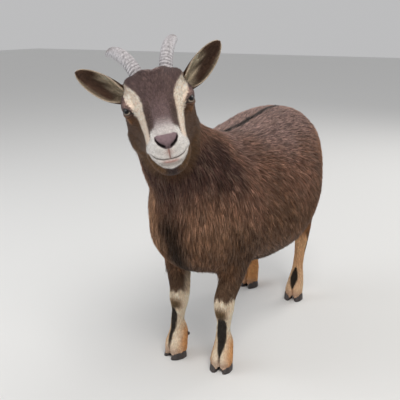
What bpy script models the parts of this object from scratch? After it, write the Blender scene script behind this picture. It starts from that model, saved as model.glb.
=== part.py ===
"""A standing pygmy goat, life size, as a still museum model.

Frame: metres, +Z up, the goat faces -Y and its left side is +X.  The floor is z = 0.
The flesh is modelled whole from lofts and ellipsoids, fused and smoothed, and then parted into
named pieces with thin flat cuts.  Horns, eyes, ears, hooves and dewclaws are pieces of their own.
"""

import math

import bmesh
import bpy
import numpy as np
from mathutils import Matrix, Vector

LEFT, RIGHT = 1, -1
SIDES = {"left": LEFT, "right": RIGHT}

# ---------------------------------------------------------------- driving dimensions, metres
WITHERS = 0.505  # height of the back over the shoulders
CROUP = 0.533  # height of the back over the hips
BELLY = 0.190  # lowest point of the barrel
KNEE = 0.148  # height of the front knee (carpus)
HOCK = 0.172  # height of the point of hock
FETLOCK = 0.058  # height of the fetlock joints
CORONET = 0.020  # height of the top of the hoof at its toe
HOOF_LENGTH = 0.046
HOOF_WIDTH = 0.0240
CLEFT = 0.0045  # gap between the two hooves of one foot
DEWCLAW_LENGTH = 0.0075

HEAD_PLACE = Vector((0.0350, -0.390, 0.602))  # the point midway between the eyes
HEAD_TURN, HEAD_NOD, HEAD_TILT = (math.radians(a) for a in (36.5, 9.0, -11.0))
EYE_RADIUS = 0.0138
EYE_PLACE = Vector((0.0455, -0.010, 0.0))  # left eye, in the head's own frame
EYE_FACING = -32  # degrees that an eye looks forwards of straight sideways
HORN_LENGTH = 0.110
HORN_RADIUS = 0.0127
HORN_PLACE = Vector((0.0226, 0.047, 0.031))
HORN_RISE = math.radians(66)  # how steeply the horn leaves the forehead
HORN_ARC = math.radians(98)  # how far the horn bends over from root to tip
HORN_LATENESS = 1.37  # over 1, the horn bends more towards its tip
HORN_BEAK = (0.50, 2.2, 0.65)  # where the beak begins, and how its outline closes
HORN_LEAN = {"horn_left": 23, "horn_right": 36}  # degrees that each horn spreads sideways
EAR_LENGTH = 0.099
EAR_RISE = {LEFT: 0.50, RIGHT: 0.455}  # how steeply each ear points up, as a share of its reach sideways
EAR_WIDTH = 0.0405
EAR_LIFT = 0.010  # how far the tip bends upwards
EAR_PLACE = Vector((0.050, 0.046, 0.011))

TO_ORIGIN = Vector((0.0, 0.067, 0.0))  # brings the middle of the footprint to the origin
GAP = 0.0003  # clear space at every cut
VOXEL = 0.0032  # grain of the fused flesh
TRIANGLES = {"body": 730, "head": 1230, "legs": 750}  # left in the flesh before it is parted
EYE_OPENING = Vector((0.030, 0.0108, 0.0070))  # reach, half length and half height between the lids

# ---------------------------------------------------------------- colours and finish
MATERIALS = {
    # name: (base colour, roughness)
    "coat_brown": ((0.115, 0.062, 0.042), 0.85),
    "coat_head": ((0.130, 0.075, 0.055), 0.85),
    "coat_tan": ((0.520, 0.330, 0.190), 0.85),
    "ear_skin": ((0.240, 0.150, 0.095), 0.80),
    "horn": ((0.360, 0.345, 0.330), 0.55),
    "hoof": ((0.060, 0.052, 0.050), 0.50),
    "eye": ((0.350, 0.260, 0.120), 0.10),
}


# ---------------------------------------------------------------- small helpers
def clear_scene():
    for obj in list(bpy.data.objects):
        bpy.data.objects.remove(obj)


def material(name):
    found = bpy.data.materials.get(name)
    if found:
        return found
    colour, roughness = MATERIALS[name]
    made = bpy.data.materials.new(name)
    made.use_nodes = True
    shader = made.node_tree.nodes["Principled BSDF"]
    shader.inputs["Base Color"].default_value = (*colour, 1.0)
    shader.inputs["Roughness"].default_value = roughness
    shader.inputs["Metallic"].default_value = 0.0
    return made


def new_object(name, mesh, finish=None, helper=False):
    obj = bpy.data.objects.new(name, mesh)
    bpy.context.scene.collection.objects.link(obj)
    if finish:
        mesh.materials.clear()
        mesh.materials.append(material(finish))
    if helper:
        obj.hide_render = True
        obj.display_type = "WIRE"
    return obj


def mesh_of(bm, name):
    bmesh.ops.recalc_face_normals(bm, faces=bm.faces)
    mesh = bpy.data.meshes.new(name)
    bm.to_mesh(mesh)
    bm.free()
    return mesh


def baked(obj, name):
    """The object's mesh with its modifiers applied; the object itself is removed."""
    bpy.context.view_layer.update()
    graph = bpy.context.evaluated_depsgraph_get()
    mesh = bpy.data.meshes.new_from_object(obj.evaluated_get(graph))
    mesh.name = name
    bpy.data.objects.remove(obj)
    return mesh


def smooth_rows(rows, steps):
    """Rows of numbers made finer: a Catmull-Rom curve through them, steps points to each span."""
    rows = np.array(rows, float)
    ends = np.vstack([2 * rows[0] - rows[1], rows, 2 * rows[-1] - rows[-2]])
    fine = []
    for a, b, c, d in zip(ends, ends[1:], ends[2:], ends[3:]):
        for t in np.arange(steps) / steps:
            slope, bend, twist = c - a, 2 * a - 5 * b + 4 * c - d, 3 * b - 3 * c + d - a
            fine.append(b + 0.5 * (slope * t + bend * t**2 + twist * t**3))
    fine.append(rows[-1])
    return np.array(fine)


def ring(centre, side, up, half_width, above, below, fullness=2.0, sides=28):
    """A closed super-ellipse loop: above and below are its heights over and under the centre."""
    points = []
    for k in range(sides):
        angle = 2 * math.pi * k / sides
        c, s = math.cos(angle), math.sin(angle)
        x = half_width * math.copysign(abs(c) ** (2 / fullness), c)
        z = (above if s > 0 else below) * math.copysign(abs(s) ** (2 / fullness), s)
        points.append(centre + side * x + up * z)
    return points


def skin_rings(bm, rings, folded=False):
    """Bridges the loops in order and closes both ends, with a fan, or across a loop folded into a C."""
    loops = [[bm.verts.new(p) for p in points] for points in rings]
    for first, second in zip(loops, loops[1:]):
        for k in range(len(first)):
            n = (k + 1) % len(first)
            bm.faces.new((first[k], first[n], second[n], second[k]))
    for loop in (loops[0], loops[-1]):
        if folded:
            for k in range(len(loop) // 2 - 1):
                bm.faces.new((loop[k], loop[k + 1], loop[-k - 2], loop[-k - 1]))
            continue
        hub = bm.verts.new(sum((v.co for v in loop), Vector()) / len(loop))
        for k in range(len(loop)):
            bm.faces.new((loop[k], loop[(k + 1) % len(loop)], hub))


def add_limb(bm, rows, forward=Vector((0, -1, 0)), fullness=2.0):
    """A limb along its rows of (x, y, z, half width, half depth); width is across the goat."""
    fine = smooth_rows(rows, 6)
    places = [Vector(r[:3]) for r in fine]
    rings = []
    for k, row in enumerate(fine):
        along = (places[min(k + 1, len(fine) - 1)] - places[max(k - 1, 0)]).normalized()
        side = along.cross(forward).normalized()
        depth = side.cross(along)
        rings.append(ring(places[k], side, depth, row[3], row[4], row[4], fullness, 20))
    skin_rings(bm, rings)


def add_ellipsoid(bm, centre, radii, turn=Matrix.Identity(4)):
    matrix = Matrix.Translation(centre) @ turn @ Matrix.Diagonal((*radii, 1.0))
    bmesh.ops.create_uvsphere(bm, u_segments=24, v_segments=16, radius=1.0, matrix=matrix)


def mirrored(point, side):
    return Vector((point[0] * side, point[1], point[2]))


# ---------------------------------------------------------------- trunk, neck and tail
def add_trunk(bm):
    """Sections from the breast back to the rump: y, top, bottom, half width, height of the widest part."""
    sections = [
        (-0.288, 0.375, 0.310, 0.028, 0.345),
        (-0.270, 0.430, 0.262, 0.074, 0.340),
        (-0.210, 0.490, 0.226, 0.104, 0.338),
        (-0.110, WITHERS, 0.209, 0.121, 0.330),
        (0.000, 0.513, BELLY, 0.147, 0.312),
        (0.100, 0.526, BELLY + 0.004, 0.155, 0.317),
        (0.190, CROUP, 0.224, 0.142, 0.347),
        (0.265, 0.520, 0.282, 0.109, 0.377),
        (0.312, 0.470, 0.350, 0.052, 0.407),
    ]
    rings = []
    for y, top, bottom, half, widest in smooth_rows(sections, 5):
        centre = Vector((0, y, widest))
        above, below = top - widest, widest - bottom
        rings.append(ring(centre, Vector((1, 0, 0)), Vector((0, 0, 1)), half, above, below, 2.25, 40))
    skin_rings(bm, rings)


def add_haunch(bm, side):
    """The thigh muscles that the hind leg hangs from, and the shoulder with the upper arm."""
    tip = Matrix.Rotation(math.radians(-18), 4, "X")
    add_ellipsoid(bm, Vector((0.070 * side, 0.225, 0.370)), (0.048, 0.080, 0.125), tip)
    lean = Matrix.Rotation(math.radians(14), 4, "X")
    add_ellipsoid(bm, Vector((0.074 * side, -0.165, 0.345)), (0.050, 0.073, 0.123), lean)


def add_neck(bm, head):
    """From inside the shoulders up to the back of the skull; the last rings take the head's turn."""
    start = Vector((0, -0.110, 0.385))
    end = head @ Vector((0, 0.040, -0.024))
    knots = [start, Vector((0.0, -0.195, 0.430)), Vector((-0.016, -0.262, 0.494)), end]
    sizes = [(0.090, 0.125), (0.083, 0.114), (0.068, 0.087), (0.057, 0.060)]
    head_side = head.to_3x3() @ Vector((1, 0, 0))
    rows = [(*k, *s, i / (len(knots) - 1)) for i, (k, s) in enumerate(zip(knots, sizes))]
    fine = smooth_rows(rows, 6)
    places = [Vector(r[:3]) for r in fine]
    rings = []
    for k, row in enumerate(fine):
        along = (places[min(k + 1, len(fine) - 1)] - places[max(k - 1, 0)]).normalized()
        side = Vector((1, 0, 0)).lerp(head_side, row[5] ** 2)
        side = (side - along * side.dot(along)).normalized()
        rings.append(ring(places[k], side, side.cross(along), row[3], row[4], row[4], 2.1, 32))
    skin_rings(bm, rings)


def add_tail(bm):
    rows = [
        (0, 0.280, 0.488, 0.026, 0.020),
        (0, 0.314, 0.479, 0.027, 0.017),
        (0, 0.338, 0.452, 0.029, 0.014),
        (0, 0.347, 0.415, 0.025, 0.012),
        (0, 0.349, 0.385, 0.014, 0.009),
        (0, 0.349, 0.366, 0.005, 0.004),
    ]
    add_limb(bm, rows, forward=Vector((0, -1, 0.4)))


def add_udder(bm):
    """A small dry udder between the thighs, in two halves."""
    for side in SIDES.values():
        add_ellipsoid(bm, Vector((0.013 * side, 0.170, 0.216)), (0.023, 0.034, 0.022))


# ---------------------------------------------------------------- head
def head_matrix():
    turn = Matrix.Rotation(HEAD_TURN, 4, "Z") @ Matrix.Rotation(HEAD_NOD, 4, "X")
    return Matrix.Translation(HEAD_PLACE) @ turn @ Matrix.Rotation(HEAD_TILT, 4, "Y")


def add_skull(bm):
    """Sections in the head's frame, nape to nose: y, top, bottom, half width, height of the widest part."""
    sections = [
        (0.088, 0.018, -0.060, 0.042, -0.020),
        (0.066, 0.044, -0.080, 0.055, -0.024),
        (0.038, 0.057, -0.088, 0.062, -0.026),
        (0.010, 0.050, -0.088, 0.060, -0.030),
        (-0.018, 0.035, -0.083, 0.051, -0.034),
        (-0.048, 0.021, -0.078, 0.041, -0.036),
        (-0.078, 0.009, -0.077, 0.035, -0.038),
        (-0.102, 0.001, -0.078, 0.034, -0.040),
        (-0.120, -0.007, -0.072, 0.030, -0.040),
        (-0.133, -0.019, -0.052, 0.015, -0.036),
    ]
    rings = []
    for y, top, bottom, half, widest in smooth_rows(sections, 4):
        centre = Vector((0, y, widest))
        above, below = top - widest, widest - bottom
        rings.append(ring(centre, Vector((1, 0, 0)), Vector((0, 0, 1)), half, above, below, 2.35, 36))
    skin_rings(bm, rings)


def add_head_forms(bm):
    """Brow ridges, cheeks, lips, nose and chin: the forms that stand out from the skull's loft."""
    for side in SIDES.values():
        add_ellipsoid(bm, mirrored((0.0475, 0.012, 0.005), side), (0.0175, 0.030, 0.023))
        add_ellipsoid(bm, mirrored(EYE_PLACE, side), (0.0168, 0.0188, 0.0160))
        add_ellipsoid(bm, mirrored((0.039, 0.028, -0.050), side), (0.0240, 0.046, 0.042))
        add_ellipsoid(bm, mirrored((0.037, 0.049, 0.026), side), (0.021, 0.022, 0.022))
        add_ellipsoid(bm, mirrored((0.0172, -0.105, -0.038), side), (0.0182, 0.026, 0.021))
        add_ellipsoid(bm, mirrored((0.0090, -0.116, -0.019), side), (0.0110, 0.016, 0.0120))
    add_ellipsoid(bm, Vector((0, -0.102, -0.064)), (0.0260, 0.0250, 0.0200))


def make_eyes(head):
    eyes = {}
    for name, side in SIDES.items():
        bm = bmesh.new()
        place = head @ mirrored(EYE_PLACE, side)
        bmesh.ops.create_icosphere(bm, subdivisions=3, radius=EYE_RADIUS, matrix=Matrix.Translation(place))
        eyes[name] = new_object(f"eye_{name}", mesh_of(bm, f"eye_{name}"), "eye")
    return eyes


def add_eye_openings(bm, head):
    """The openings between the lids, from the eyeball straight out through the flesh."""
    for side in SIDES.values():
        outward = Matrix.Rotation(math.radians(EYE_FACING * side), 4, "Z")
        place = head @ Matrix.Translation(mirrored(EYE_PLACE, side)) @ outward
        middle = Matrix.Translation((side * EYE_OPENING.x * 0.55, 0, 0))
        oval = Matrix.Diagonal((EYE_OPENING.x, EYE_OPENING.y, EYE_OPENING.z, 1.0))
        bmesh.ops.create_uvsphere(bm, u_segments=16, v_segments=8, radius=1.0, matrix=place @ middle @ oval)


def horn_radius(share):
    """The horn's radius along its length: nearly even to the middle, then closing to a blunt beak."""
    begin, fullness, bluntness = HORN_BEAK
    closing = max((share - begin) / (1 - begin), 0.0)
    return HORN_RADIUS * (1 - 0.12 * share) * max(1 - closing**fullness, 0.05) ** bluntness


def make_horn(name, side, head):
    """A blunt cone along an arc that leaves the forehead upwards and bends over backwards."""
    bm = bmesh.new()
    steps = 9
    lean = math.radians(HORN_LEAN[name])
    out = Vector((math.sin(lean) * side, math.cos(lean), 0))
    start = out * math.cos(HORN_RISE) + Vector((0, 0, math.sin(HORN_RISE)))
    over = out * math.sin(HORN_RISE) - Vector((0, 0, math.cos(HORN_RISE)))

    def heading(share):
        bent = HORN_ARC * share**HORN_LATENESS
        return start * math.cos(bent) + over * math.sin(bent)

    across = start.cross(over)
    place = mirrored(HORN_PLACE, side)
    rings = []
    for k in range(steps + 1):
        share = k / steps
        radius = horn_radius(share)
        up = across.cross(heading(share))
        rings.append(ring(place, across, up, radius * 0.95, radius * 1.05, radius * 1.05, 2, 10))
        place = place + heading(share + 0.5 / steps) * (HORN_LENGTH / steps)
    skin_rings(bm, rings)
    bmesh.ops.transform(bm, matrix=head, verts=bm.verts)
    return new_object(name, mesh_of(bm, name), "horn")


def make_ear(name, side, head):
    """A cupped leaf with a tube-like root; its hollow faces forwards."""
    bm = bmesh.new()
    along = Vector((0.82 * side, 0.20, EAR_RISE[side])).normalized()
    facing = Vector((0.10 * side, -1.0, 0.12))
    facing = (facing - along * facing.dot(along)).normalized()
    across = facing.cross(along)
    lift = (Vector((0, 0, 1)) - along * along.z).normalized()
    stations, columns = 10, 6
    front, back = [], []
    for i in range(stations + 1):
        u = i / stations
        half = EAR_WIDTH / 2 * (0.55 + 0.45 * math.sin(math.pi * (u / 1.1) ** 0.9)) * math.sqrt(1 - u**7)
        cup = math.radians(105 * (1 - u) ** 1.2 + 38)  # how far the section curls round
        thick = 0.0062 - 0.0030 * u
        bow = facing * (-0.010 * math.sin(math.pi * u)) + lift * (EAR_LIFT * u * u)
        spine = mirrored(EAR_PLACE, side) + along * (EAR_LENGTH * u) + bow
        half = max(half, 0.0012)
        inner, outer = [], []
        for j in range(columns + 1):
            v = 2 * j / columns - 1
            angle = cup * v
            radius = half / math.sin(min(cup, math.pi / 2))
            out = across * math.sin(angle) + facing * (-math.cos(angle))
            hub = spine + facing * (radius * math.cos(min(cup, math.pi / 2) * 0.5))
            rim = thick * (0.30 + 0.70 * math.cos(math.pi / 2 * v) ** 0.5 if abs(v) < 1 else 0.30)
            inner.append(hub + out * (radius - rim / 2))
            outer.append(hub + out * (radius + rim / 2))
        front.append(inner)
        back.append(outer)
    rings = [inner + outer[::-1] for inner, outer in zip(front, back)]
    skin_rings(bm, rings, folded=True)
    bmesh.ops.transform(bm, matrix=head, verts=bm.verts)
    return new_object(name, mesh_of(bm, name), "ear_skin")


# ---------------------------------------------------------------- legs
STANCE = {
    # foot: (x and y of the hooves, x of the knee or hock, which way the toes turn)
    "fore_left": (0.055, -0.178, 0.063, 12),
    "fore_right": (-0.062, -0.177, -0.048, -20),
    "hind_left": (0.066, 0.236, 0.067, 8),
    "hind_right": (-0.077, 0.255, -0.045, -8),
}


def side_of(foot):
    return LEFT if foot.endswith("left") else RIGHT


def add_foreleg(bm, foot):
    x, y, knee, _ = STANCE[foot]
    side = side_of(foot)
    rows = [
        (0.074 * side, -0.160, 0.330, 0.042, 0.062),
        (0.072 * side, -0.158, 0.262, 0.033, 0.047),
        (0.45 * knee + 0.040 * side, -0.174, 0.212, 0.0250, 0.033),
        (knee, -0.192, 0.172, 0.0225, 0.0250),
        (knee, -0.195, KNEE, 0.0228, 0.0240),
        (knee * 0.6 + x * 0.4, y - 0.010, 0.118, 0.0168, 0.0182),
        (x, y - 0.004, 0.085, 0.0160, 0.0178),
        (x, y + 0.001, FETLOCK, 0.0215, 0.0225),
        (x, y - 0.006, 0.038, 0.0258, 0.0225),
        (x, y - 0.011, 0.020, 0.0270, 0.0245),
        (x, y - 0.011, 0.009, 0.0255, 0.0230),
    ]
    add_limb(bm, rows, fullness=2.15)


def add_hindleg(bm, foot):
    x, y, hock, _ = STANCE[foot]
    side = side_of(foot)
    rows = [
        (0.072 * side, 0.200, 0.350, 0.044, 0.074),
        (0.076 * side, 0.208, 0.290, 0.036, 0.058),
        (0.078 * side, 0.236, 0.235, 0.0255, 0.041),
        (0.5 * hock + 0.039 * side, 0.262, 0.198, 0.0190, 0.0305),
        (hock, y + 0.030, HOCK - 0.010, 0.0180, 0.0260),
        (0.4 * hock + 0.6 * x, y + 0.022, 0.125, 0.0150, 0.0185),
        (x, y + 0.012, 0.085, 0.0150, 0.0175),
        (x, y + 0.005, FETLOCK, 0.0205, 0.0220),
        (x, y - 0.004, 0.038, 0.0240, 0.0210),
        (x, y - 0.010, 0.020, 0.0255, 0.0235),
        (x, y - 0.010, 0.009, 0.0240, 0.0220),
    ]
    add_limb(bm, rows, fullness=2.15)


def foot_matrix(foot):
    """The foot's own frame: on the floor, between its two hooves, with -Y towards the toes."""
    x, y, _, turn = STANCE[foot]
    return Matrix.Translation((x, y - 0.012, 0)) @ Matrix.Rotation(math.radians(turn), 4, "Z")


def make_hoof(name, matrix, inner):
    """One claw: a low wedge with a sloping toe, a flat sole at z = 0 and a flat slanting top."""
    bm = bmesh.new()
    half = HOOF_WIDTH / 2
    heel_height = CORONET * 0.78
    rings = []
    for share in (0.0, 0.5, 1.0):
        low, high = HOOF_LENGTH * (-0.56 + 0.24 * share), HOOF_LENGTH * (0.40 - 0.06 * share)
        points = []
        for k in range(10):
            angle = 2 * math.pi * k / 10
            c, s = math.cos(angle), math.sin(angle)
            fore = (-low if s < 0 else high) * math.copysign(abs(s) ** (2 / 2.3), s)
            toe = max(0.0, -s) ** 2
            across = half * (1 - 0.14 * share) * (1 - 0.38 * toe) * math.copysign(abs(c) ** (2 / 2.5), c)
            across -= inner * half * 0.34 * toe
            height = share * (CORONET + (heel_height - CORONET) * (fore - low) / (high - low))
            points.append(Vector((across, fore, height)))
        rings.append(points)
    skin_rings(bm, rings)
    bmesh.ops.transform(bm, matrix=matrix, verts=bm.verts)
    return new_object(name, mesh_of(bm, name), "hoof")


def make_dewclaw(name, matrix):
    """The small horn button on the back of the fetlock."""
    bm = bmesh.new()
    rings = []
    for share in (0.0, 1.0):
        radius = 0.0056 - 0.0020 * share
        centre = Vector((0, DEWCLAW_LENGTH * share, -DEWCLAW_LENGTH / 2 * share))
        tall = Vector((0, 0.3, 1))
        rings.append(ring(centre, Vector((1, 0, 0)), tall, radius * 0.85, radius, radius, 2, 6))
    skin_rings(bm, rings)
    bmesh.ops.transform(bm, matrix=matrix, verts=bm.verts)
    return new_object(name, mesh_of(bm, name), "hoof")


def make_claws():
    claws = []
    for foot in STANCE:
        frame = foot_matrix(foot)
        for label, offset in (("outer", side_of(foot)), ("inner", -side_of(foot))):
            shift = Matrix.Translation((offset * (HOOF_WIDTH + CLEFT) / 2, 0, 0))
            splay = Matrix.Rotation(math.radians(4.0 * offset), 4, "Z")
            claws.append(make_hoof(f"hoof_{foot}_{label}", frame @ shift @ splay, offset))
            back = Matrix.Translation((offset * 0.0095, 0.0245, 0.050))
            claws.append(make_dewclaw(f"dewclaw_{foot}_{label}", frame @ back))
    return claws


# ---------------------------------------------------------------- fusing the flesh
def fused_flesh(head):
    bm = bmesh.new()
    add_skull(bm)
    add_head_forms(bm)
    bmesh.ops.transform(bm, matrix=head, verts=bm.verts)
    add_trunk(bm)
    add_neck(bm, head)
    add_tail(bm)
    add_udder(bm)
    for foot in STANCE:
        if foot.startswith("fore"):
            add_foreleg(bm, foot)
        else:
            add_hindleg(bm, foot)
    for side in SIDES.values():
        add_haunch(bm, side)
    obj = new_object("flesh_raw", mesh_of(bm, "flesh_raw"))
    remesh = obj.modifiers.new("fuse", "REMESH")
    remesh.mode = "VOXEL"
    remesh.voxel_size = VOXEL
    return new_object("flesh_fused", baked(obj, "flesh_fused"))


def weigh(obj, name, weight):
    """A vertex group whose weights come from a function of each point's place."""
    group = obj.vertex_groups.new(name=name)
    for v in obj.data.vertices:
        group.add([v.index], weight(v.co), "REPLACE")
    return group.name


def ramp(value, low, high):
    return min(max((value - low) / (high - low), 0.0), 1.0)


def smoothed_flesh(head):
    """The blends are wide on the trunk and neck, narrow on the head, and least on the lower legs."""
    to_head = head.inverted()

    def on_head(p):
        local = to_head @ p
        return ramp(-local.y, -0.11, -0.05) * ramp(local.z, -0.150, -0.110)

    def bulk_share(p):
        return (1 - on_head(p)) * ramp(p.z, 0.20, 0.28) * ramp(-p.y, -0.33, -0.29)

    def head_share(p):
        return on_head(p) * (0.3 + 0.7 * ramp((to_head @ p).y, -0.09, -0.04))

    obj = fused_flesh(head)
    for name, share, rounds in (("bulk", bulk_share, 220), ("head", head_share, 22)):
        smooth = obj.modifiers.new(name, "SMOOTH")
        smooth.vertex_group = weigh(obj, name, share)
        smooth.factor, smooth.iterations = 0.5, rounds
    fine = obj.modifiers.new("fine", "SMOOTH")
    fine.factor, fine.iterations = 0.5, 4
    flesh = new_object("flesh_smooth", baked(obj, "flesh_smooth"))
    regions = {
        "head": lambda p: on_head(p) > 0.3,
        "legs": lambda p: p.z < 0.235 and on_head(p) <= 0.3,
        "body": lambda p: p.z >= 0.235 and on_head(p) <= 0.3,
    }
    for name, inside in regions.items():
        flesh = thinned(flesh, name, inside, TRIANGLES[name])
    return flesh


def thinned(flesh, name, inside, wanted):
    """The flesh with about the wanted number of triangles inside one region, the rest left alone."""
    here = sum(len(p.vertices) - 2 for p in flesh.data.polygons if inside(p.center))
    total = sum(len(p.vertices) - 2 for p in flesh.data.polygons)
    thin = flesh.modifiers.new(name, "DECIMATE")
    thin.ratio = (total - here + wanted) / total
    thin.vertex_group = weigh(flesh, name, lambda p: 1.0 if inside(p) else 0.0)
    return new_object("flesh", baked(flesh, "flesh"))


# ---------------------------------------------------------------- parting the flesh
def slab(bm, low, high, y_range):
    """A cut GAP thick through two points (x, z), running from y_range[0] to y_range[1]."""
    (x0, z0), (x1, z1) = low, high
    middle = Vector(((x0 + x1) / 2, sum(y_range) / 2, (z0 + z1) / 2))
    length = math.hypot(x1 - x0, z1 - z0)
    turn = Matrix.Rotation(-math.atan2(z1 - z0, x1 - x0), 4, "Y")
    size = Matrix.Diagonal((length, y_range[1] - y_range[0], GAP, 1.0))
    bmesh.ops.create_cube(bm, size=1.0, matrix=Matrix.Translation(middle) @ turn @ size)


def plate(bm, centre, normal, width):
    """A square cut GAP thick across the neck or the tail, at right angles to the normal."""
    turn = Vector(normal).to_track_quat("Z", "X").to_matrix().to_4x4()
    size = Matrix.Diagonal((width, width, GAP, 1.0))
    bmesh.ops.create_cube(bm, size=1.0, matrix=Matrix.Translation(centre) @ turn @ size)


def add_cuts(bm, head):
    nape = head @ Vector((0, 0.055, -0.080))
    plate(bm, nape, head.to_3x3() @ Vector((0, 1, -0.30)), 0.34)
    plate(bm, Vector((0, -0.205, 0.430)), Vector((0, -0.75, 0.66)), 0.32)
    plate(bm, Vector((0, 0.322, 0.468)), Vector((0, 1, 0)), 0.07)
    for foot, (x, y, joint, _) in STANCE.items():
        side = side_of(foot)
        if foot.startswith("fore"):
            slab(bm, (0.026 * side, 0.203), (0.118 * side, 0.222), (-0.25, -0.08))
            knee_height = KNEE
        else:
            slab(bm, (0.041 * side, 0.203), (0.130 * side, 0.222), (0.150, 0.345))
            knee_height = HOCK
        slab(bm, (joint - 0.034, knee_height), (joint + 0.034, knee_height), (y - 0.07, y + 0.08))
        slab(bm, (x - 0.034, FETLOCK + 0.012), (x + 0.034, FETLOCK + 0.012), (y - 0.05, y + 0.06))


def add_grown(bm, obj):
    """The same piece grown by GAP on every side, as the tool that makes its socket."""
    mesh = obj.data.copy()
    grown = bmesh.new()
    grown.from_mesh(mesh)
    bmesh.ops.recalc_face_normals(grown, faces=grown.faces)
    grown.normal_update()
    for v in grown.verts:
        v.co += v.normal * GAP * 1.5 * min(v.calc_shell_factor(), 2.5)
    grown.to_mesh(mesh)
    grown.free()
    bm.from_mesh(mesh)
    bpy.data.meshes.remove(mesh)


def cut_away(obj, tool_name, fill):
    """Takes what fill adds to an empty bmesh away from the object."""
    bm = bmesh.new()
    fill(bm)
    tool = new_object(tool_name, mesh_of(bm, tool_name), helper=True)
    cut = obj.modifiers.new(tool_name, "BOOLEAN")
    cut.operation, cut.solver, cut.use_self = "DIFFERENCE", "EXACT", True
    cut.object = tool
    made = new_object(obj.name + "_cut", baked(obj, obj.name + "_cut"))
    bpy.data.objects.remove(tool)
    return made


def rooted(ear, flesh):
    """The ear cut off where it meets the head, with GAP left between them."""
    name = ear.name
    rest = cut_away(ear, "root", lambda bm: add_grown(bm, flesh))
    largest = max(islands(rest), key=lambda piece: piece.calc_volume())
    bpy.data.objects.remove(rest)
    return new_object(name, mesh_of(largest, name), "ear_skin")


def islands(obj):
    """The object's closed pieces, each as a bmesh of its own."""
    whole = bmesh.new()
    whole.from_mesh(obj.data)
    bmesh.ops.remove_doubles(whole, verts=whole.verts, dist=1e-6)
    left = set(whole.verts)
    pieces = []
    while left:
        seed = next(v for v in whole.verts if v in left)
        found, edge = {seed}, [seed]
        while edge:
            v = edge.pop()
            for e in v.link_edges:
                other = e.other_vert(v)
                if other not in found:
                    found.add(other)
                    edge.append(other)
        left -= found
        pieces.append(found)
    meshes = []
    for found in pieces:
        piece = whole.copy()
        piece.verts.ensure_lookup_table()
        keep = {v.index for v in found}
        bmesh.ops.delete(piece, geom=[v for v in piece.verts if v.index not in keep], context="VERTS")
        meshes.append(piece)
    whole.free()
    return meshes


def node_places(head):
    """A point inside each piece of flesh, which gives the piece its name."""
    places = {
        "head": head @ Vector((0, 0.0, -0.025)),
        "neck": Vector((0, -0.262, 0.480)),
        "trunk": Vector((0, 0.05, 0.35)),
        "tail": Vector((0, 0.345, 0.440)),
    }
    for foot, (x, y, joint, _) in STANCE.items():
        upper = "forearm" if foot.startswith("fore") else "gaskin"
        back = -0.185 if foot.startswith("fore") else 0.255
        places[f"{upper}_{foot}"] = Vector((joint, back, 0.185))
        places[f"cannon_{foot}"] = Vector(((x + joint) / 2, y + 0.012, 0.110))
        places[f"pastern_{foot}"] = Vector((x, y - 0.004, 0.040))
    return places


def name_pieces(flesh, head):
    """Names each island after the nearest place, and finishes it."""
    pieces = islands(flesh)
    centres = [sum((v.co for v in piece.verts), Vector()) / len(piece.verts) for piece in pieces]
    for name, place in node_places(head).items():
        nearest = min(range(len(pieces)), key=lambda k: (centres[k] - place).length)
        finish = "coat_tan" if name.startswith(("cannon", "pastern")) else "coat_brown"
        new_object(name, mesh_of(pieces[nearest], name), "coat_head" if name == "head" else finish)
    bpy.data.objects.remove(flesh)


# ---------------------------------------------------------------- the whole goat
def main():
    clear_scene()
    head = head_matrix()
    flesh = smoothed_flesh(head)
    seated = list(make_eyes(head).values()) + make_claws()
    seated += [make_horn(f"horn_{name}", side, head) for name, side in SIDES.items()]
    for name, side in SIDES.items():
        rooted(make_ear(f"ear_{name}", side, head), flesh)
    flesh = cut_away(flesh, "cuts", lambda bm: add_cuts(bm, head))

    flesh = cut_away(flesh, "lids", lambda bm: add_eye_openings(bm, head))

    def sockets(bm):
        for obj in seated:
            add_grown(bm, obj)

    flesh = cut_away(flesh, "sockets", sockets)
    name_pieces(flesh, head)
    for obj in bpy.context.scene.objects:
        if not obj.hide_render:
            obj.data.transform(Matrix.Translation(TO_ORIGIN))


main()
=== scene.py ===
"""A small brown doe goat, standing with her head turned: skin, coat, eyes, horns and hooves."""

import math
from contextlib import contextmanager

import bmesh
import bpy
import numpy as np
from mathutils import Matrix, Vector
from mathutils.bvhtree import BVHTree
from mathutils.kdtree import KDTree


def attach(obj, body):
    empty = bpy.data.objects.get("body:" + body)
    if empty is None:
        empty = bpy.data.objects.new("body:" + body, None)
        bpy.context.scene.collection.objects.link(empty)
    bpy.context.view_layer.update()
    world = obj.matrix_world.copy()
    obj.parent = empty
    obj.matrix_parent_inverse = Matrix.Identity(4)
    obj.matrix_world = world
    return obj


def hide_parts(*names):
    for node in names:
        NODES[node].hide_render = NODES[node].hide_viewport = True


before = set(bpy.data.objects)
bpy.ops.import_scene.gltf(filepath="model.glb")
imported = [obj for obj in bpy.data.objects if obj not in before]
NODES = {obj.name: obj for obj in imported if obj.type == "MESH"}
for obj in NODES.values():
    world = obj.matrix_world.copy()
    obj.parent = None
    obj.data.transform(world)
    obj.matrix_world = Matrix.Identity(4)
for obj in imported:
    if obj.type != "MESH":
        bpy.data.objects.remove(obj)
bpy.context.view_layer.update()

# ---- sizes, in metres, in the CAD's frame
HEAD_PLACE = np.array((0.035, -0.323, 0.602))
HEAD_TURN, HEAD_NOD, HEAD_TILT = (math.radians(a) for a in (36.5, 9.0, -11.0))
EYE_RADIUS = 0.0138
EYE_PLACE = np.array((0.0455, -0.01, 0.0))
EYE_AIM = np.array((0.78, -0.55, 0.3))  # from the eye's centre to the middle of the opening
EYE_HALF_LENGTH, EYE_HALF_HEIGHT = 0.0114, 0.0042
HORN_LENGTH, HORN_RADIUS = 0.11, 0.0127
HORN_PLACE = np.array((0.0226, 0.047, 0.031))
HORN_RISE, HORN_ARC = math.radians(66), math.radians(98)
HORN_LEAN = {"left": 23, "right": 36}
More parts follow.
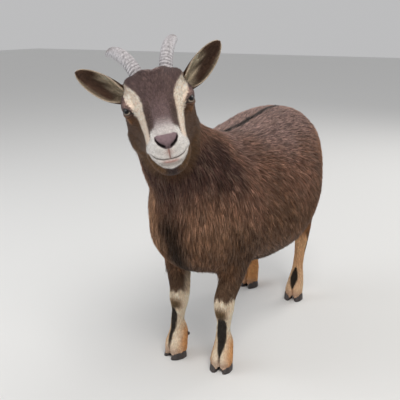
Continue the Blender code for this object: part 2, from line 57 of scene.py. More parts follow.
EAR_LENGTH, EAR_WIDTH, EAR_LIFT = 0.099, 0.0405, 0.01
EAR_RISE = {1.0: 0.5, -1.0: 0.455}  # left and right
EAR_PLACE = np.array((0.05, 0.046, 0.011))
VOXEL = 0.0022  # of the skin before its faces are thinned out
THICK_FACES = 35000  # of the skin, where the coat is thick
CUT = 0.0005  # by which the parted flesh grows, so that the cuts close
HORN_PLUG = 0.0165  # the ball of flesh at a horn's root
HOOF_TOP = 0.0165  # no hair grows below it
SIDES = {"left": 1.0, "right": -1.0}
# hooves' x and y, the knee's or hock's x, and how many degrees the toes turn
LEGS = {
    "fore_left": (0.055, -0.111, 0.063, 12),
    "fore_right": (-0.062, -0.11, -0.048, -20),
    "hind_left": (0.066, 0.303, 0.067, 8),
    "hind_right": (-0.077, 0.322, -0.045, -8),
}

HEAD = (
    Matrix.Translation(HEAD_PLACE)
    @ Matrix.Rotation(HEAD_TURN, 4, "Z")
    @ Matrix.Rotation(HEAD_NOD, 4, "X")
    @ Matrix.Rotation(HEAD_TILT, 4, "Y")
)
HEAD_TURNS = np.array(HEAD.to_3x3())


# ---- small helpers
def to_head(places):
    """World places in the head's own frame: x to the goat's left, y backwards, z up."""
    return (places - HEAD_PLACE) @ HEAD_TURNS


def from_head(places):
    return places @ HEAD_TURNS.T + HEAD_PLACE


def srgb(red, green, blue):
    """A colour given as a screen shows it (0 to 255), in linear light."""
    c = np.array((red, green, blue)) / 255
    return np.where(c <= 0.04045, c / 12.92, ((c + 0.055) / 1.055) ** 2.4)


def step(low, high, value):
    """0 below low, 1 above high, smooth between; low may be the larger one."""
    t = np.clip((value - low) / (high - low), 0, 1)
    return t * t * (3 - 2 * t)


def norm(v):
    return np.linalg.norm(v, axis=-1)


def unit(v):
    return v / np.maximum(norm(v)[..., None], 1e-12)


def level(v, normal):
    """Each v without its part along the normal."""
    return v - np.sum(v * normal, 1)[:, None] * normal


def mix(a, b, share):
    share = np.asarray(share)[..., None] if np.ndim(share) else share
    return a * (1 - share) + b * share


def layered(colour, *coats):
    """The colour with others laid over it in turn, each followed by its share."""
    for over, share in zip(coats[::2], coats[1::2]):
        colour = mix(colour, over, share)
    return colour


def bell(*terms, power=2):
    """1 where each distance is 0, falling off over the width that follows it."""
    return np.exp(-sum((away / width) ** power for away, width in zip(terms[::2], terms[1::2])))


def on_line(value, *points):
    """The line through a few (place, size) points, given in thousandths, read at each value."""
    return np.interp(value, *np.array(points).T / 1000)


def ripple(places, scale, seed, octaves=3):
    """Smooth noise of about -1 to 1 made of crossing waves."""
    rng = np.random.default_rng(seed)
    total = np.zeros(len(places))
    for k in range(octaves * 5):
        size = 2.0 ** (k // 5)
        wave = unit(rng.normal(size=3)) * size / scale * 2 * math.pi * rng.uniform(0.7, 1.3)
        total += np.sin(places @ wave + rng.uniform(0, 6.3)) / size
    return total / 3.2


def placed(name, data):
    obj = bpy.data.objects.new(name, data)
    bpy.context.scene.collection.objects.link(obj)
    return obj


def mesh_object(name, verts, faces):
    mesh = bpy.data.meshes.new(name)
    mesh.from_pydata([tuple(v) for v in verts], [], [tuple(f) for f in faces])
    mesh.update()
    return placed(name, mesh)


def tube_faces(rings, around):
    """The four-sided faces between one ring of places and the next."""
    ends = [(k * around, j, (j + 1) % around) for k in range(rings - 1) for j in range(around)]
    return [(k + a, k + b, k + b + around, k + a + around) for k, a, b in ends]


@contextmanager
def opened(mesh, source=None):
    """The source (or the mesh itself) as a bmesh, written to the mesh at the end."""
    work = bmesh.new()
    work.from_mesh(source or mesh)
    yield work
    work.to_mesh(mesh)
    work.free()


def rows_of(items, key, width=3, kind=np.float32):
    """One property of a mesh's items, a row for each."""
    values = np.empty(len(items) * width, kind)
    items.foreach_get(key, values)
    return values.reshape(-1, width)


def places_of(mesh):
    return rows_of(mesh.vertices, "co").astype(float)


def set_places(mesh, co):
    mesh.vertices.foreach_set("co", co.astype(np.float32).ravel())
    mesh.update()


def normals_of(mesh):
    return rows_of(mesh.vertices, "normal").astype(float)


def with_modifier(obj, kind, **settings):
    """Applies one modifier at once."""
    modifier = obj.modifiers.new(kind.lower(), kind)
    for key, value in settings.items():
        setattr(modifier, key, value)
    bpy.context.view_layer.update()
    graph = bpy.context.evaluated_depsgraph_get()
    mesh = bpy.data.meshes.new_from_object(obj.evaluated_get(graph))
    old = obj.data
    obj.modifiers.clear()
    obj.data = mesh
    bpy.data.meshes.remove(old)


def relaxed(mesh, rounds, weight):
    """Laplacian smoothing; weight gives each vertex's share of it, from 0 to 1."""
    co = places_of(mesh)
    a, b = rows_of(mesh.edges, "vertices", 2, np.int32).T
    ends, others = np.concatenate((a, b)), np.concatenate((b, a))
    count = np.maximum(np.bincount(ends, minlength=len(co)), 1)
    for _ in range(rounds):
        mean = np.stack([np.bincount(ends, co[others, k], len(co)) for k in range(3)], 1) / count[:, None]
        co += (mean - co) * (0.55 * weight)[:, None]
    set_places(mesh, co)
    return co


# ---- materials and pieces
SURFACES = {  # grain and its range, roughness, specular; then a bump's grain, strength and depth
    "goat_skin": ((260, 3), 0.78, 1.18, 0.62, 0.25, (900, 3), 0.55, 0.0006),
    "goat_coat": ((420, 2), 0.86, 1.14, 0.55, 0.18),
    "horn_material": ((300, 5), 0.55, 1.3, 0.52, 0.5, (700, 4, (1, 1, 0.35)), 0.5, 0.0005),
    "hoof_material": ((300, 5, (1, 1, 0.25)), 0.65, 1.3, 0.45, 0.5, (500, 4, (0.3, 0.3, 2.0)), 0.6, 0.0004),
    "eye_material": ((1500, 3), 0.85, 1.15, 0.05, 0.28),
}


def tuned(node, **settings):
    """The node with its settings: sockets are linked, the rest set the input or property so named."""
    for key, value in settings.items():
        socket = node.inputs.get(key.replace("_", " "))
        if isinstance(value, bpy.types.NodeSocket):
            node.id_data.links.new(value, socket)
        elif socket is None:
            setattr(node, key, value)
        else:
            socket.default_value = value
    return node


def add(tree, kind, result, **settings):
    """The result of a new node of this kind, one of its outputs."""
    return tuned(tree.nodes.new("ShaderNode" + kind), **settings).outputs[result]


def new_material(name):
    mat = bpy.data.materials.new(name)
    mat.use_nodes = True
    return mat, mat.node_tree.nodes["Principled BSDF"]


def noise_of(tree, scale, detail, stretch=(1, 1, 1)):
    """A noise texture on stretched object coordinates."""
    where = add(tree, "TexCoord", "Object")
    if stretch != (1, 1, 1):
        where = add(tree, "Mapping", "Vector", Vector=where, Scale=stretch)
    return add(tree, "TexNoise", "Fac", Vector=where, Scale=scale, Detail=detail, Roughness=0.6)


def surface(name):
    """One of the surfaces above: the painted marks, lightened and darkened by a grain."""
    if name in bpy.data.materials:
        return bpy.data.materials[name]
    grain, low, high, roughness, specular, *bump = SURFACES[name]
    mat, shader = new_material(name)
    tree = mat.node_tree
    fac = noise_of(tree, *grain)
    shade = add(tree, "MapRange", "Result", Value=fac, From_Min=0.3, From_Max=0.7, To_Min=low, To_Max=high)
    paint = add(tree, "VertexColor", "Color", layer_name="marks")
    paint = add(tree, "VectorMath", "Vector", operation="SCALE", Vector=paint, Scale=shade)
    tuned(shader, Base_Color=paint, Roughness=roughness, Specular_IOR_Level=specular)
    if bump:
        height = noise_of(tree, *bump[0])
        relief = add(tree, "Bump", "Normal", Height=height, Strength=bump[1], Distance=bump[2])
        tuned(shader, Normal=relief)
    return mat


def dressed(obj, colours, material, slot_name, *nodes):
    """Gives a piece its colours, material and rider, and hides the nodes that it stands in for; its slot
    name is not used.
    """
    mesh = obj.data
    rgba = np.ones((len(colours), 4), np.float32)
    rgba[:, :3] = np.clip(colours, 0, 1)
    mesh.color_attributes.new("marks", "FLOAT_COLOR", "POINT").data.foreach_set("color", rgba.ravel())
    mesh.materials.clear()
    mesh.materials.append(surface(material))
    mesh.shade_smooth()
    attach(obj, "root")
    if nodes:
        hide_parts(*nodes)


# ---- where a place is on the goat
def regions(places):
    """Head coordinates and soft shares for the parts of the goat at each place."""
    h = to_head(places)
    x, y, z = places.T
    behind = (h[:, 1] - 0.055 - 0.3 * (h[:, 2] + 0.08)) / 1.044
    head = step(0.012, -0.012, behind) * (norm(h - (0, 0, -0.02)) < 0.24)
    leg, low, limb = {}, np.zeros(len(x)), np.zeros(len(x))
    for foot, (fx, fy, joint, _) in LEGS.items():
        own = (np.sign(x) == np.sign(fx)) * ((y < 0.09) == foot.startswith("fore"))
        away = np.hypot(x - joint, (y - fy - 0.012) / 1.7)
        limb = np.maximum(limb, own * step(0.064, 0.046, away))
        own = own * np.maximum(step(0.19, 0.186, z), step(0.05, 0.042, away))
        leg[foot] = own * (z < 0.235)
        low = np.maximum(low, own * step(0.235, 0.2, z))
    return {"h": h, "head": head, "leg": leg, "low": low, "limb": limb}


def ear_frame(side):
    along = unit(np.array((0.82 * side, 0.2, EAR_RISE[side])))
    facing = np.array((0.1 * side, -1.0, 0.12))
    facing = unit(facing - along * (facing @ along))
    lift = unit(np.array((0, 0, 1.0)) - along * along[2])
    return along, facing, np.cross(facing, along), lift


def eye_axes(side):
    """The eye's centre and its out, forward (towards the nose) and up directions, in the head's frame."""
    flip = np.array((side, 1, 1))
    out = unit(EYE_AIM * flip)
    up = unit(np.array((0, 0, 1.0)) - out * out[2])
    return EYE_PLACE * flip, out, np.cross(out, up) * side, up


def eyes(h):
    """For each eye: the way from it to each place, its aim, and the way's parts ahead, up and out."""
    for side in SIDES.values():
        centre, out, ahead, up = eye_axes(side)
        away = h - centre
        yield away, out, away @ ahead, away @ up, away @ out


# ---- markings, with painted shade and painted sheen
CHOCOLATE = srgb(100, 80, 78)
# painted sheen: a lighter greyish band down the middle of the nose bridge
PAINTED_BRIDGE_SHEEN = srgb(116, 95, 94)
WEDGE = srgb(72, 52, 44)
CHEEK = srgb(84, 55, 32)
JAW = srgb(106, 76, 46)
# painted shade in the crease between the lips
MOUTH_CREASE_SHADE = srgb(92, 72, 64)
CREAM = srgb(250, 227, 206)
MUZZLE = srgb(234, 228, 222)
FROST = srgb(190, 178, 176)
NOSE = srgb(126, 104, 108)
NOSTRIL = srgb(24, 15, 14)
LIP = srgb(176, 124, 112)
# painted shadow under the lower lip
UNDER_LIP_SHADOW = srgb(132, 116, 102)
RIM = srgb(40, 28, 24)
LID = srgb(160, 128, 118)
TAN = srgb(190, 138, 96)
BODY = srgb(130, 94, 76)
# painted shade down the middle of the throat and chest
PAINTED_CHEST_SHADE = srgb(48, 33, 22)
GOLD = srgb(164, 126, 98)
SADDLE = srgb(74, 52, 48)
RUMP = srgb(156, 104, 62)
# painted sheen: the top of the back lighter and greyer, as if lit from above
PAINTED_BACK_SHEEN = srgb(158, 134, 130)
STRIPE = srgb(34, 25, 24)
# the belly's own dark coat, made darker still with painted shade under the body
DARK_BELLY_AND_SHADE = srgb(44, 32, 21)
FLANK = srgb(114, 82, 60)
LEG_CREAM = srgb(250, 226, 198)
LEG_TAN = srgb(222, 160, 104)
LEG_DARK = srgb(10, 8, 7)
FOREARM = srgb(96, 72, 54)
PATCH = srgb(112, 86, 56)
TOE = srgb(176, 140, 122)
EAR_DARK = srgb(88, 66, 54)
EAR_CREAM = srgb(255, 235, 203)
EAR_RIM = srgb(214, 194, 170)
TIP = srgb(190, 160, 138)  # the pale ends of the long hair


def face_marks(h):
    """The head's colours at places in its own frame."""
    x, y, z = h.T
    side = np.abs(x)
    wobble = 0.0009 * np.sin(y * 900 + z * 700)
    golden = step(-0.035, -0.075, z) * step(-0.12, -0.08, y) * step(0.006, 0.024, side)
    whorl = np.hypot(x - 0.001, y - 0.034)
    spokes = np.sin(np.arctan2(y - 0.034, x - 0.001) * 5 + whorl * 700) > 0.35
    colour = layered(
        CHOCOLATE,
        # painted sheen down the middle of the nose bridge
        PAINTED_BRIDGE_SHEEN, step(0.022, 0.01, side) * step(-0.03, -0.065, y),
        WEDGE, 0.85 * step(0.011, 0.02, side) * step(-0.03, -0.07, y),
        CHEEK, step(0.006, -0.022, z - 0.35 * np.clip(-y, 0, 0.1)) * step(0.02, 0.034, side),
        JAW, 0.75 * golden,
        CHEEK, step(-0.082, -0.1, z) * step(0.03, 0.012, side),
        FROST, 0.75 * bell(whorl, 0.0075) * (z > 0.01) * spokes,
    )
    for _, _, a, b, c in eyes(h):
        below = bell(a + 0.003, 0.012, b + 0.013, 0.006) * (c > 0)
        above = bell(a + 0.004, 0.01, b - 0.0115, 0.0045) * (c > 0)
        colour = layered(colour, TAN * 0.7, 0.8 * below, LID, 0.8 * above)
    # the cream stripes: over each eye, then down the side of the nose
    inner = on_line(y, (-118, 24), (-84, 24.8), (-50, 26.2), (-36, 25.8), (-20, 28.5), (-9, 32.2),
                    (6, 39.2), (20, 44), (36, 49))
    outer = on_line(y, (-120, 30), (-84, 34), (-60, 35), (-46, 36.2), (-34, 39.5), (-24.5, 45.5),
                    (-12, 52), (6, 54.5), (26, 54), (40, 53))
    high = on_line(y, (-120, -34), (-105, -26), (-60, -14), (-30, 0), (-12, 10), (40, 20))
    stripe = step(-0.0012, 0.0012, side + wobble - inner) * step(0.0015, -0.0015, side + wobble - outer)
    stripe *= step(-0.003, 0.002, z - high) * step(0.044, 0.033, y)
    # the white muzzle with its grey fan, the lips and the dark chin
    front = step(-0.092, -0.108, y)
    lower = z - chin_line(side)
    upper = on_line(side, (0, 20), (20, 20), (22.5, -11), (24.5, -16.5), (30, -24), (36, -34))
    white = step(-0.1, -0.112, y + 0.2 * np.clip(side - 0.024, 0, 1)) * step(-0.0016, 0.0016, lower)
    white *= step(0.003, -0.003, z - upper) * (1 - 0.6 * step(-0.016, -0.006, z) * step(0.022, 0.012, side))
    reach = on_line(y, (-126, 21.5), (-117, 20.5), (-106, 16.5), (-96, 13.8), (-80, 11))
    fan = step(0.0025, -0.0035, side - reach + wobble) * step(-0.078, -0.112, y)
    under = step(-0.095, -0.108, y) * step(0.0012, -0.002, lower)
    mouth = z - mouth_line(side)
    parting = bell(x, 0.0015) * step(-0.047, -0.044, z) * step(-0.026, -0.029, z)
    # painted light and shade on the nose pad: lighter at the top, darker at the bottom and round the
    # nostrils
    pad = mix(NOSE * 0.55, NOSE * 1.12, step(-0.029, -0.015, z))
    around = bell(z - slit_line(side), 0.0052) * step(0.003, 0.007, side)
    colour = layered(
        colour,
        CREAM, 0.96 * stripe,
        FROST, 0.92 * fan * step(-0.02, -0.005, z),
        MUZZLE, white,
        mix(RIM * 1.5, JAW, step(0.004, 0.016, side)), 0.9 * under,
        # painted shadow under the lower lip
        UNDER_LIP_SHADOW, 0.55 * bell(mouth + 0.0095, 0.0036) * step(0.026, 0.012, side) * front,
        LIP, 0.8 * bell(mouth + 0.004, 0.003) * step(0.019, 0.006, side) * front,
        # painted shade along the crease of the mouth
        MOUTH_CREASE_SHADE, 0.65 * bell(mouth, 0.0012) * step(0.033, 0.022, side) * front,
        LIP * 0.75, 0.8 * parting * front,
        LIP * 0.95, 0.5 * bell(x, 0.008, z + 0.0345, 0.006) * front,
        # the nose pad with its painted light and shade
        mix(pad, NOSE * 0.45, 0.7 * around), nose_pad(h),
        NOSTRIL, np.clip(1.15 * nostril(h), 0, 0.96),
    )
    # the dark rims of the lids and the tear corners
    for away, _, a, b, c in eyes(h):
        tear = bell(a - 0.014, 0.0034, b + 0.001, 0.0015)
        rim = np.clip(step(0.0028, 0.001, lens(a, b)) + 0.8 * tear, 0, 1)
        colour = mix(colour, RIM, rim * (c > 0.004) * (norm(away) < 0.024))
    return colour


def chin_line(side):
    """The height where the white of the lower lip ends, at a distance from the middle."""
    return on_line(side, (0, -65.5), (13.8, -61), (20.5, -54.5), (27.5, -45), (31, -37))


def mouth_line(side):
    return on_line(side, (0, -46.8), (10.5, -46.2), (20.3, -43.8), (28.2, -38), (34, -35))


def nose_pad(h):
    x, y, z = h.T
    half = on_line(z, (-30, 3), (-27.2, 8.5), (-21.5, 15.5), (-16, 18.6), (-11.5, 17.2), (-8.5, 11))
    pad = step(0.0009, -0.0009, np.abs(x) - half) * step(-0.0302, -0.0286, z) * step(-0.0084, -0.01, z)
    return pad * step(-0.112, -0.117, y)


def slit_line(side):
    """The height of the nostril's slit at a distance from the middle of the nose."""
    return on_line(side, (4, -26.2), (9.5, -24), (14, -20.4), (17, -15.8), (18.2, -12.5))


def nostril(h):
    """1 along the comma-shaped slit at each side of the nose pad."""
    x, y, z = h.T
    side = np.abs(x)
    wide = on_line(side, (4, 1.6), (7, 2.6), (10.5, 3), (15, 2.6), (18.2, 1.8))
    slit = np.exp(-np.abs((z - slit_line(side)) / wide) ** 2.6)
    return slit * step(0.003, 0.0052, side) * step(0.0186, 0.0168, side) * step(-0.108, -0.114, y)


def lens(a, b):
    """Metres outside the eye's opening, which is where two discs overlap; negative inside it."""
    bow = (EYE_HALF_LENGTH**2 + EYE_HALF_HEIGHT**2) / (2 * EYE_HALF_HEIGHT)
    return np.hypot(a, np.abs(b) + bow - EYE_HALF_HEIGHT) - bow


def leg_marks(places, foot):
    """A lower leg's colours: cream and black in front, orange-tan behind."""
    fx, fy, joint, _ = LEGS[foot]
    x, y, z = places.T
    fore = foot.startswith("fore")
    axis_x = fx + (joint - fx) * np.clip((z - 0.058) / 0.09, 0, 1)
    if fore:
        bow = on_line(z, (20, -10), (58, 1), (85, -4), (118, -10), (148, -17), (200, -4))
    else:
        bow = on_line(z, (20, -10), (58, 5), (85, 12), (125, 22), (165, 30), (200, 0))
    angle = np.arctan2((x - axis_x) * np.sign(fx), fy + bow - y)  # 0 in front, grows to the outside
    turned = np.abs(angle)
    jag = 0.0022 * np.sin(angle * 5 + fx * 90) + 0.0018 * np.sin(angle * 11 + fx * 40)
    tone = 0.06 * np.sin(z * 130 + angle * 3)
    if fore:
        width = on_line(z, (20, 30), (36, 100), (50, 280), (66, 520), (80, 740),
                        (110, 800), (124, 600), (134, 250))
        width, middle = (width, 0.1) if fx > 0 else (width * 0.75, 0.4)
        line = step(width + 0.09, width - 0.09, np.abs(angle - middle))
        line *= step(0.018, 0.026, z) * step(0.137, 0.128, z)
        inside = step(-0.5, -1.1, angle) * step(0.235, 0.195, z)
        colour = layered(
            LEG_CREAM,
            LEG_TAN, step(0.1, 0.05, z) * step(0.2, 1.4, turned + tone),
            LEG_TAN * 0.9, step(2.0, 2.8, turned) * step(0.16, 0.12, z) * 0.7,
            PATCH, 0.95 * bell(angle, 0.85, z - 0.144, 0.015, power=4),
            PATCH * 0.62, 0.8 * bell(angle, 0.5, z - 0.14, 0.008, power=4),
            LEG_DARK, 0.97 * line,
            mix(FOREARM, LEG_CREAM * 0.75, 0.75 * inside), step(0.1715, 0.1765, z + jag),
        )
    else:
        width = on_line(z, (30, 20), (45, 300), (60, 520), (75, 420), (94, 20)) * (fx > 0)
        line = step(width + 0.08, width - 0.08, turned) * step(0.026, 0.034, z) * step(0.097, 0.088, z)
        heel = step(1.5, 2.1, np.abs(angle + 0.2)) * step(0.105, 0.15, z) * step(0.225, 0.2, z)
        colour = layered(
            LEG_TAN,
            LEG_CREAM, (0.25 + 0.2 * step(0.1, 0.05, z)) * (fx > 0),
            LEG_DARK, 0.97 * line,
            LEG_DARK * 1.8, 0.9 * heel,
            RUMP * 0.85, step(0.165, 0.205, z + jag) * step(-1.4, 0.4, angle),
        )
    return mix(colour, TOE, 0.55 * step(0.036, 0.018, z) * step(1.6, 0.6, turned))


def body_marks(places):
    """The trunk's, neck's and upper legs' colours."""
    x, y, z = places.T
    patches = ripple(places, 0.16, 3)
    throat = step(-0.1, -0.2, y) * step(0.52, 0.4, z)
    centre = step(0.048, 0.004, np.abs(x + 0.002 + 0.01 * patches))
    neck_patch_and_head_shadow = step(-0.065, -0.13, y + 0.02 * patches) * step(0.38, 0.46, z) * step(-0.06, -0.03, x)
    elbow = step(0.365, 0.32, z + 0.01 * patches) * step(-0.185, -0.145, y) * step(-0.02, -0.08, y)
    wide = on_line(y, (-120, 3), (-60, 6.2), (100, 6), (280, 5.2), (330, 3))
    wander = 0.0012 * np.sin(y * 70) + 0.0008 * np.sin(y * 190)
    ridge = step(0.0016, -0.0016, np.abs(x + wander) - wide) * step(-0.13, -0.09, y)
    colour = layered(
        BODY,
        FLANK, step(0.42, 0.3, z + 0.02 * patches),
        RUMP, step(0.18, 0.34, y + 0.03 * patches) * step(0.3, 0.4, z) * 0.8,
        # painted sheen along the top of the back
        PAINTED_BACK_SHEEN, step(0.43, 0.51, z + 0.02 * patches) * step(-0.12, -0.02, y) * 0.62,
        GOLD, 0.9 * throat * step(0.0, -0.03, x + 0.02 * patches) * step(0.25, 0.33, z),
        GOLD, 0.35 * throat * step(0.3, 0.34, z) * step(0.47, 0.42, z) * step(0.01, 0.03, x),
        # painted shade down the middle of the chest, deepest low down
        PAINTED_CHEST_SHADE, throat * centre * (0.5 + 0.5 * step(0.4, 0.355, z)),
        # a darker patch on the neck under the jaw: partly the coat's own colour, partly painted shadow of
        # the head
        SADDLE, 0.85 * neck_patch_and_head_shadow * step(0.535, 0.5, z),
        # the dark belly with painted shade under the body, and the same colour behind the elbows
        DARK_BELLY_AND_SHADE, step(0.265, 0.205, z + 0.01 * patches) * 0.8 * step(-0.14, -0.06, y),
        DARK_BELLY_AND_SHADE, 0.45 * elbow * step(0.07, 0.1, np.abs(x)),
        STRIPE, 0.97 * ridge * step(0.345, 0.325, y) * step(0.38, 0.42, z),
        SADDLE, 0.9 * step(0.338, 0.35, y) * step(0.024, 0.017, np.abs(x)) * step(0.37, 0.39, z),
    )
    return colour * (1 + 0.09 * patches)[:, None]


def marks(places):
    """The coat's colour everywhere, the same for the skin and for the hair that grows on it."""
    r = regions(places)
    colour = body_marks(places)
    for foot, here in r["leg"].items():
        here = here > 0
        if here.any():
            colour[here] = mix(colour[here], leg_marks(places[here], foot), r["low"][here])
    near = r["head"] > 0
    colour[near] = mix(colour[near], face_marks(r["h"][near]), r["head"][near])
    return np.clip(colour, 0.002, 1)


# ---- which way the hair lies
def flow(places, normals):
    """The lie of the coat: back and down over the body, down the legs, up the face from the nose."""
    r = regions(places)
    x, y, z = places.T
    side = np.sign(x)
    down = 12 + 42 * step(0.5, 0.36, z) - 25 * step(0.3, 0.21, z)
    thigh = step(0.2, 0.3, y) * step(0.36, 0.26, z)
    down = layered(down[:, None], 78, step(0.02, -0.16, y), 82, step(0.3, 0.4, y), 66, thigh)
    angle = np.radians(down[:, 0] + 8 * ripple(places, 0.2, 11, 2))
    lie = layered(
        np.stack([0.1 * side * step(-0.1, 0.1, y), np.cos(angle), -np.sin(angle)], 1),
        np.array((0, 0.5, -0.86)), step(0.36, 0.42, z) * step(-0.06, -0.14, y),
        np.array((0, 0.12, -1)), step(0.2, -0.5, normals[:, 1]) * step(-0.05, -0.12, y) * 0.8,
        np.array((0, 0.1, -1)), r["low"],
        np.array((0, 0.25, -1)), step(0.385, 0.4, y) * step(0.56, 0.5, z),
    )
    h = r["h"]
    hn = normals @ HEAD_TURNS
    hx, hy = h[:, 0], h[:, 1] - 0.034
    hs, one = np.sign(hx), np.ones(len(hx))
    cheek = np.stack([0.05 * hs, 0.9 * one, -0.42 * one], 1)
    crown = np.stack([0.2 * hs * step(0.0, 0.02, np.abs(hx)), one, 0.2 * one], 1)
    swirl = np.stack([hx - 0.45 * hy, hy + 0.45 * hx, 0 * one], 1)
    crown = mix(crown, unit(swirl + 1e-6), 0.85 * step(0.024, 0.01, np.hypot(hx, hy)))
    nose = h - (0, -0.128, -0.022)
    face = layered(
        cheek,
        crown, step(0.05, 0.55, hn[:, 2]),
        np.array((0, 1, -0.35)), step(-0.2, -0.7, hn[:, 2]),
        unit(nose), 0.8 * step(0.045, 0.02, norm(nose)),
    )
    for away, out, _, _, c in eyes(h):
        close = step(0.024, 0.012, norm(away - out * 0.012))
        face = mix(face, unit(away - c[:, None] * out), 0.85 * close)
    return unit(level(mix(lie, unit(face) @ HEAD_TURNS.T, r["head"]), normals))


def hair_length(places):
    """How long the hair is at each place."""
    r = regions(places)
    _, y, z = places.T
    body = 0.025 + 0.004 * step(-0.05, -0.16, y) - 0.005 * step(0.3, 0.38, y)
    body += 0.003 * ripple(places, 0.1, 5, 2)
    body -= 0.006 * step(0.27, 0.21, z) * (y > -0.02)
    body -= 0.008 * step(0.47, 0.5, z) * step(0.02, -0.06, y)
    body -= 0.012 * step(0.27, 0.2, z) * r["limb"]
    low = on_line(z, (15, 5), (60, 6.5), (150, 8), (215, 12))
    body = body + (low - body) * r["low"]
    h = r["h"]
    side, hy, hz = np.abs(h[:, 0]), h[:, 1], h[:, 2]
    face = on_line(hy, (-130, 2.2), (-95, 3.2), (-50, 5.5), (0, 8), (45, 12), (85, 18))
    face += 0.006 * step(-0.045, -0.085, hz) * step(-0.118, -0.06, hy)
    face += 0.0045 * step(0.0, -0.007, hz - chin_line(side))
    face -= 0.005 * step(0.034, 0.048, hy) * step(0.03, 0.012, side) * (hz > 0)
    for away, out, *_ in eyes(h):
        face = face * (1 - 0.45 * step(0.026, 0.01, norm(away - out * 0.012)))
    return np.maximum(body + (face - body) * r["head"], 0.0018)


def bare(places):
    """1 where no hair grows: the nose, the lips' edges, the eyes and what the horns and hooves cover."""
    h = to_head(places)
    none = np.maximum(nose_pad(h), nostril(h) > 0.2)
    side = np.abs(h[:, 0])
    lips = (np.abs(h[:, 2] - mouth_line(side) + 0.0016) < 0.003) * (side < 0.022) * (h[:, 1] < -0.1)
    none = np.maximum(none, lips)
    for s, (away, _, a, b, c) in zip(SIDES.values(), eyes(h)):
        eye = (lens(a, b) < 0.0012) * (c > 0) * (norm(away) < 0.024)
        root = HORN_PLACE[:2] * (s, 1) + (0.004 * s, 0.009)
        none = np.maximum(none, np.maximum(eye, (norm(h[:, :2] - root) < 0.0115) * (h[:, 2] > 0.04)))
    return np.maximum(none, places[:, 2] < HOOF_TOP)


# ---- the skin
def ear_shell(side, stations=30, columns=18):
    """The ear's cupped leaf: its places, its faces and each place's spot as ear_marks reads it."""
    along, facing, across, lift = ear_frame(side)
    vs = [2 * j / columns - 1 for j in range(columns + 1)]
    rows, marks_row = [], []
    for i in range(-4, stations + 1):
        u = i / stations
        grow = max(u, 0.0)
        half = EAR_WIDTH / 2 * (0.55 + 0.45 * math.sin(math.pi * (grow / 1.1) ** 0.9))
        half = max(half * math.sqrt(max(1 - grow**7, 0)) - 0.0004, 0.001)
        cup = math.radians(105 * (1 - grow) ** 1.2 + 38)
        thick = (0.0062 - 0.003 * grow) * 0.72
        bow = facing * (-0.01 * math.sin(math.pi * grow)) + lift * (EAR_LIFT * grow * grow)
        spine = EAR_PLACE * (side, 1, 1) + along * (EAR_LENGTH * u * 0.985) + bow
        folded = min(cup, math.pi / 2)
        radius = half / math.sin(folded)
        inner, outer = [], []
        for v in vs:
            out = across * math.sin(cup * v) - facing * math.cos(cup * v)
            hub = spine + facing * (radius * math.cos(folded * 0.5))
            rim = thick * (0.25 + 0.75 * max(math.cos(math.pi / 2 * v), 0.0) ** 0.5)
            rib = 0.0005 * math.cos(v * 16) * math.sin(math.pi * min(grow, 1)) * (1 - abs(v))
            inner.append(hub + out * (radius - rim / 2 + rib))
            outer.append(hub + out * (radius + rim / 2))
        rows.append(inner + outer[::-1])
        marks_row.append([(u, v, 1) for v in vs] + [(u, v, 0) for v in vs[::-1]])
    count = 2 * columns + 2
    faces = tube_faces(len(rows), count)
    for start in (0, (len(rows) - 1) * count):
        for k in range(columns):
            quad = (start + k, start + k + 1, start + count - k - 2, start + count - k - 1)
            faces.append(quad if start else quad[::-1])
    verts = from_head(np.array(rows).reshape(-1, 3))
    return verts, faces, np.array(marks_row).reshape(-1, 3)


def ear_marks(spots):
    """The ear's colours at spots: along (u), across to the upper rim (v), and 1 on the inner face."""
    u, v, inner = spots.T
    grain = 0.1 * np.sin(u * 9 + v * 7) + 0.06 * np.sin(v * 17 + u * 5)
    hollow = layered(
        EAR_DARK,
        EAR_DARK * 1.6, step(0.2, 0.8, np.abs(v) + grain),
        EAR_CREAM, 0.95 * step(-0.4, 0.15, v + grain - 0.5 * u) * step(0.74, 0.42, u),
        EAR_CREAM * 0.85, 0.55 * step(0.3, 0.06, u),
        EAR_CREAM * 0.6, 0.5 * step(-0.55, -0.85, v),
    )
    back = mix(CHEEK * 1.1, CHOCOLATE, step(0.2, 0.7, u))
    return layered(back, hollow, inner, EAR_RIM, step(0.88, 0.95, np.abs(v)) * step(0.02, 0.15, u) * 0.9)


def flesh_volume():
    """All flesh as one volume: the parted nodes grown by the width of the cuts, with the sockets filled."""
    mesh, piece = bpy.data.meshes.new("skin"), bpy.data.meshes.new("piece")
    with opened(mesh) as whole:
        for name, node in NODES.items():
            if name.startswith(("eye", "horn", "ear")):
                continue
            with opened(piece, node.data) as part:
                bmesh.ops.remove_doubles(part, verts=part.verts, dist=1e-5)
                bmesh.ops.recalc_face_normals(part, faces=part.faces)
                part.normal_update()
                for v in part.verts:
                    v.co += v.normal * CUT
            whole.from_mesh(piece)
        for s in SIDES.values():
            eye = Matrix.Translation(from_head(EYE_PLACE * (s, 1, 1)))
            bmesh.ops.create_icosphere(whole, subdivisions=4, radius=EYE_RADIUS * 1.02, matrix=eye)
            plug = HEAD @ Matrix.Translation(HORN_PLACE * (s, 1, 1) + np.array((0.001 * s, 0.003, 0.004)))
            bmesh.ops.create_icosphere(whole, subdivisions=4, radius=HORN_PLUG, matrix=plug)
    bpy.data.meshes.remove(piece)
    return placed("goat_skin", mesh)


def finer(mesh, wanted):
    """Splits every edge whose ends are both in the wanted zone, given by a function of places."""
    inside = wanted(places_of(mesh))
    with opened(mesh) as work:
        edges = [e for e in work.edges if inside[e.verts[0].index] and inside[e.verts[1].index]]
        bmesh.ops.subdivide_edges(work, edges=edges, cuts=1, use_grid_fill=True)
        bmesh.ops.triangulate(work, faces=[f for f in work.faces if len(f.verts) > 4])


